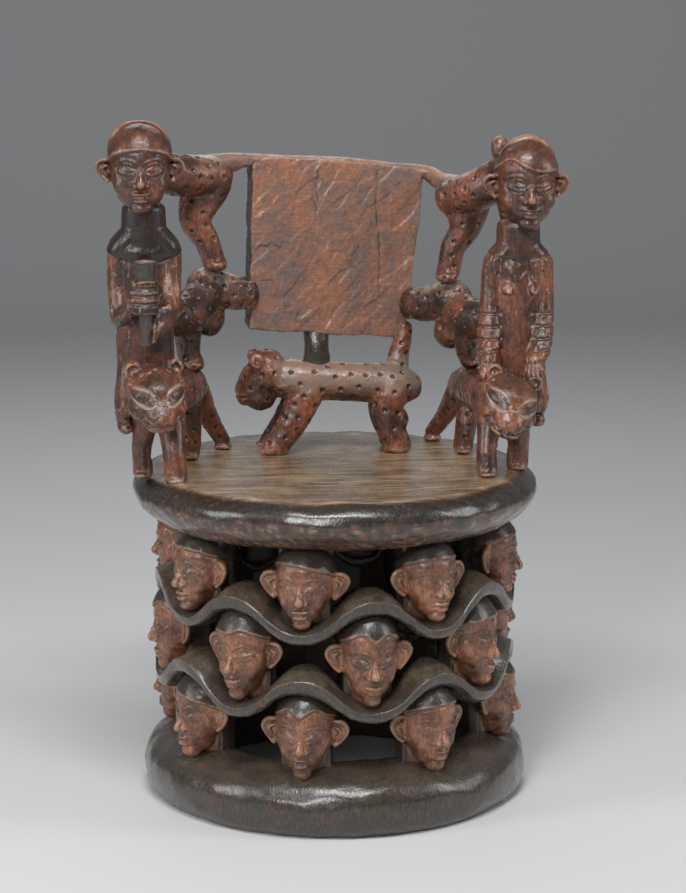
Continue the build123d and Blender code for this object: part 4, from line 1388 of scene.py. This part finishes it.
def left_arms(x, y, top):
    """Both arms bent to the cup: a fist round its grip, and a hand with four fingers at its foot."""
    cx, cy = CUP[:2]
    lumps = [
        limb((x - 32, y, top - 18, 15), (x - 33, y - 3, top - 64, 15), (x - 31, y - 12, top - 100, 14.5)),
        limb((x - 31, y - 12, top - 100, 14), (x - 25, y - 34, top - 92, 12.5),
             (x - 13, y - 50, top - 76, 10.5)),
        limb((x + 32, y, top - 18, 15), (x + 33, y - 4, top - 48, 15), (x + 32, y - 14, top - 76, 14.5)),
        limb((x + 32, y - 14, top - 76, 14), (x + 28, y - 38, top - 94, 12),
             (x + 13, y - 50, top - 116, 8.5)),
        ball((x - 12, y - 50, top - 68), (9, 12, 18)),
        ball((x + 18, y - 46, top - 98), (10, 8, 22), turn=(0, 35, 0)),
        limb((cx - 1, cy + 2, top - 51, 17.5, 17, 6), (cx - 1, cy + 2, top - 88, 17, 16.5, 6)),
    ]
    for k in range(4):
        lumps.append(limb((x + 22 - 3 * k, y - 46 - 2 * k, top - 98 - 6 * k, 5),
                          (cx + 12 - k, cy - 6, top - 116 - 3.4 * k, 3.6), steps=4))
    return lumps


def right_arms(x, y, hip, top):
    lumps = []
    for s in (-1, 1):
        arm = limb((x + s * 33, y, top - 18, 15), (x - 2 + s * 35, y - 7, top - 72, 15),
                   (x - 7 + s * 35, y - 24, hip + 30, 14.5), (x - 14 + s * 31, y - 42, hip + 10, 13))
        lumps.append(arm)
        lumps.append(ball((x - 15 + s * 30, y - 52, hip - 2), (13, 9, 15), turn=(-28, 0, 0)))
        lumps.append(limb((x + s * 17, y - 22, top - 42, 9), (x + s * 17, y - 32, top - 46, 4), steps=3))
    return lumps


def rider_body(side):
    plan = RIDERS[side]
    x, y, hip, top = plan["x"], plan["y"], plan["hip"], plan["shoulder"]
    lumps = torso_lumps(x, y, hip, top)
    lumps += left_arms(x, y, top) if side == "left" else right_arms(x, y, hip, top)
    piece = grown(f"rider_{side}_body_carved", lumps, grain=1.6, rounds=4)
    co, normals = points_of(piece)
    u = co[:, 0] - x
    drop, rise, point = plan["collar"]
    edge = top - drop + rise * (u / 48) ** 2 - point * clamp(1 - np.abs(u) / 14)
    above = clamp((co[:, 2] - edge) / 1.6 + 0.5)
    cuts = knife_facets(co, normals, 20, (0.6, 0.6, 4.0), 101, 0.7) - co
    co += cuts * (1 - 0.8 * above)[:, None]
    co += normals * (1.8 * above)[:, None]
    cut = bump(co[:, 2] - edge + 0.8, 1.1)
    co -= normals * (0.9 * cut)[:, None]
    put_points(piece, co)
    co, normals = points_of(piece)
    lines = np.zeros(len(co))
    if side == "right":
        for s in (-1, 1):
            hand = np.array([x - 15 + s * 30, y - 52, hip - 2])
            for lift in (24, 38, 54, 70):
                away = np.abs(co[:, 2] - (hip + lift))
                on_arm = (np.abs(u + 5 - s * 35) < 17) & (co[:, 1] < y + 4)
                lines = np.maximum(lines, bump(away, 1.7) * on_arm)
            for k in (-1, 0, 1):
                away = np.abs(co[:, 0] - hand[0] - 6.0 * k)
                on_hand = (np.abs(co[:, 2] - hand[2] + 2) < 15) & (co[:, 1] < hand[1])
                lines = np.maximum(lines, bump(away, 1.3) * on_hand)
        co -= normals * (2.5 * lines)[:, None]
    else:
        on_fist = (np.hypot(co[:, 0] - CUP[0], co[:, 1] - CUP[1]) < 22) & (co[:, 1] < CUP[1] + 6)
        for knuckle in (58, 68, 78):
            lines = np.maximum(lines, bump(co[:, 2] - (top - knuckle), 1.6) * on_fist)
        co -= normals * (3.0 * lines)[:, None]
    put_points(piece, co)
    wear_and_dust(piece)
    fade(piece, "edge", 1 - 0.8 * above)
    deep = clamp((y + 6 - co[:, 1]) / 30)
    shade = (0.7 if side == "left" else 0.1) * clamp(0.6 + uneven(co, 40, 104)) * (0.5 + 0.5 * deep)
    collar = (0.95 if side == "left" else 0.5) * above
    paint(piece, "black", np.maximum.reduce([collar, 0.8 * lines, shade]))
    finish_piece(piece, figure_wood, f"rider_{side}_body")


for side in RIDERS:
    rider_body(side)

cup_x, cup_y, cup_foot, cup_mouth = CUP
bpy.ops.mesh.primitive_cone_add(
    vertices=48, radius1=6.5 * MM, radius2=15 * MM, depth=(cup_mouth - cup_foot) * MM,
    location=place(cup_x, cup_y, 0.5 * (cup_foot + cup_mouth)))
cup = grown("drinking_cup_carved", [bpy.context.object], grain=1.2, rounds=3)
co, _ = points_of(cup)
mouth = clamp((12.5 - np.hypot(co[:, 0] - cup_x, co[:, 1] - cup_y)) / 2.5) * (co[:, 2] > cup_mouth - 4)
co[:, 2] -= 12 * mouth
put_points(cup, co)
wear_and_dust(cup, 4)
paint(cup, "black", np.full(len(co), 1.0))
finish_piece(cup, black_wood, "drinking_cup")

# %% [markdown]
# The riders' heads are carved by the same rules as the drum's, a little larger and without a block
# behind. The left cap has an arched brim and a crest over its top, and the right one a brim that
# swoops from one side to the other.

# %% Riders' heads
BRIMS = {
    "left": [(-38, 8, -46, 3.0), (-31, 6, -17, 3.3), (-13, 4, -4, 3.5), (13, 4, -4, 3.5), (31, 6, -17, 3.3),
             (38, 8, -46, 3.0)],
    "right": [(-31, -2, -20, 3.0), (-14, -5, -4, 3.4), (12, -5, -1, 3.4), (33, 0, -20, 3.0)],
}


def rider_head(side, x, y, foot, crown, wide):
    """A rider's head and cap; the brim's places are counted from the crown."""
    lumps = head_lumps(foot, crown, wide, jaw=1.12, ear=0.82)
    lumps = posed(lumps, (x, y - HEAD_Y, 0), turned())
    lumps.append(limb(*[(x + dx, y + dy, crown + dz, r) for dx, dy, dz, r in BRIMS[side]]))
    flap_at = (x - 31, y + 26, crown - 13)
    flap_radii = (9, 10, 13)
    if side == "right":
        lumps.append(ball(flap_at, flap_radii))
    piece = grown(f"rider_{side}_head_carved", lumps, grain=1.5, rounds=5)
    level = foot + EYES_ABOVE_CHIN * ((crown - foot) / WRITTEN_HEIGHT) + 4
    features, brim = (FACES["level"], "arch") if side == "left" else (FACES["notch"], "swoop")
    co, hair, lines = carve_head(piece, (x, y), level, wide * 0.98, features, brim, 3.6, 10, 111)
    cap = 0.6 * hair * clamp(0.75 + 0.4 * uneven(co, 25, 113))
    skin = (0.62 if side == "left" else 0.48) * clamp(0.8 + 0.4 * uneven(co, 30, 114)) * (1 - hair)
    paint(piece, "black", np.maximum.reduce([cap, skin, 0.9 * lines]))
    fade(piece, "hollow", 0.3)
    flap = clamp(1.3 - np.linalg.norm((co - flap_at) / flap_radii, axis=1))
    paint(piece, "pale", 0.6 * flap * (side == "right"))
    finish_piece(piece, figure_wood, f"rider_{side}_head", f"rider_{side}_cap")


rider_head("left", -258, -42, 784, 903, 1.05)
rider_head("right", 249, -42, 758, 880, 1.05)

# %% [markdown]
# The panel is a hewn board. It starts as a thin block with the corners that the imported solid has,
# and broad slanting adze cuts, chipped edges and a few cracks make it old.

# %% Back panel
PANEL_CORNERS = [(-102, 94, 850), (140, 132, 829), (112, 128, 594), (-107, 93, 614)]
PANEL_TURN = math.radians(9)
PANEL_THICK = 34


def panel_block():
    back = (-math.sin(PANEL_TURN) * PANEL_THICK, math.cos(PANEL_TURN) * PANEL_THICK, 0)
    front = [tuple(place(*corner)) for corner in PANEL_CORNERS]
    behind = [tuple(place(*np.add(corner, back))) for corner in PANEL_CORNERS]
    mesh = bpy.data.meshes.new("panel")
    faces = [(0, 3, 2, 1), (4, 5, 6, 7), (0, 1, 5, 4), (1, 2, 6, 5), (2, 3, 7, 6), (3, 0, 4, 7)]
    mesh.from_pydata(front + behind, [], faces)
    piece = bpy.data.objects.new("panel", mesh)
    bpy.context.scene.collection.objects.link(piece)
    return piece


panel = grown("back_panel_carved", [panel_block()], grain=1.9, rounds=5)
co, normals = points_of(panel)
middle = np.mean(PANEL_CORNERS, axis=0)
right = np.array([math.cos(PANEL_TURN), math.sin(PANEL_TURN), 0])
u = (co - middle) @ right
v = co[:, 2] - middle[2]
slant = np.stack([(u + v) * 0.45, co[:, 1], (v - u) * 1.3], 1)
edge_wave = uneven(co, 34, 121) * 1.6 + uneven(co, 12, 122) * 0.7
arch = 3.5 * clamp(1 - (u / 121) ** 2) * clamp((v - 40) / 70)
co[:, 2] += arch
border = clamp((np.maximum(np.abs(u) / 119, np.abs(v) / 117) - 0.93) / 0.05)
co += normals * (edge_wave * border)[:, None] * 0.8
co += normals * (uneven(co, 90, 123) * 1.2)[:, None]
rng = np.random.default_rng(124)
ADZE_CUTS = 620
nearest, _ = nearest_site(slant, rng.choice(len(co), ADZE_CUTS, replace=False))
lift = ((co[nearest] - co) * normals[nearest]).sum(1) + rng.normal(size=len(co))[nearest] * 0.5
same_side = (normals * normals[nearest]).sum(1) > 0.9
co += normals * (np.clip(lift, -2.0, 2.0) * same_side * 0.9)[:, None]
cracks = [
    [(-22, 104), (-25, 84), (-22, 66)], [(62, 100), (60, 66), (62, 30)], [(64, 22), (66, -26), (64, -70)],
    [(-104, 6), (-88, 8), (-74, 5)], [(-30, 70), (-24, 52), (-26, 40)], [(-102, -40), (-84, -42)],
]
deep = np.zeros(len(co))
for crack in cracks:
    line = [(cu, 0, cv) for cu, cv in crack]
    away = line_distance(np.stack([u + uneven(co, 9, 125) * 0.8, 0 * u, v], 1), line)
    deep = np.maximum(deep, bump(away, 0.8) * (normals[:, 1] < 0))
co -= normals * (deep * 1.6)[:, None]
put_points(panel, co)
wear_and_dust(panel, 4)
ends = clamp(np.abs(normals @ right) * 1.6 - 0.6)
paint(panel, "black", np.maximum(0.9 * deep, 0.85 * ends))
paint(panel, "pale", 0.35 * clamp(normals[:, 2] - 0.5))
# Hewn and left dry: a dull, even mauve that gives the eye a calm board behind the black figures.
panel_wood = carved_wood(
    "hewn_mauve_hardwood", red="#9a6850", red_deep="#76625a", black="#2f2825", dust="#a08776",
    worn="#b3917d", grain_axis="X", gloss=0.36, dust_amount=0.3, wear_amount=0.35, streaks=0.25,
    cut_tone=0.14, stain=0.2)
finish_piece(panel, panel_wood, "back_panel", slot="worn_wood")

# %% [markdown]
# The post under the panel is short and black. The rail is a flattened bar, thick at its ends where
# it grows out of the top leopards.

# %% Post and rail
post = grown("panel_post_carved", [
    limb((-13, 117, 566, 19, 17, 14), (-13, 118, 588, 17, 16, 14), (-13, 124, 612, 19, 14, 12), steps=6),
], grain=2.0, rounds=5)
co, _ = cut_facets(post, 12, (1, 1, 2.5), 131, 0.6)
wear_and_dust(post, 4)
paint(post, "black", np.full(len(co), 0.9))
finish_piece(post, black_wood, "panel_post", slot="worn_wood")

rail = grown("top_rail_carved", [
    limb((-160, 88, 838, 16, 17, 17), (-134, 96, 842, 15, 17, 14), (-112, 104, 845, 14, 16, 10),
         (-60, 117, 844, 16, 14, 7), (20, 130, 840, 16, 14, 7), (100, 143, 830, 16, 14, 7),
         (142, 146, 824, 15, 15, 9), (162, 122, 812, 14, 16, 13), (180, 92, 806, 16, 17, 17), steps=12),
], grain=2.0, rounds=4)
co, normals = cut_facets(rail, 14, (2.2, 1, 1), 134, 0.5)
wear_and_dust(rail)
above = facing_up(normals, 0.3)
paint(rail, "black", 0.5 * clamp(0.5 + uneven(co, 30, 136)) * (1 - above))
paint(rail, "pale", 0.4 * above * clamp(0.6 + 0.6 * uneven(co, 20, 135)))
finish_piece(rail, panel_wood, "top_rail", slot="worn_wood")
print("figures and back are in place")
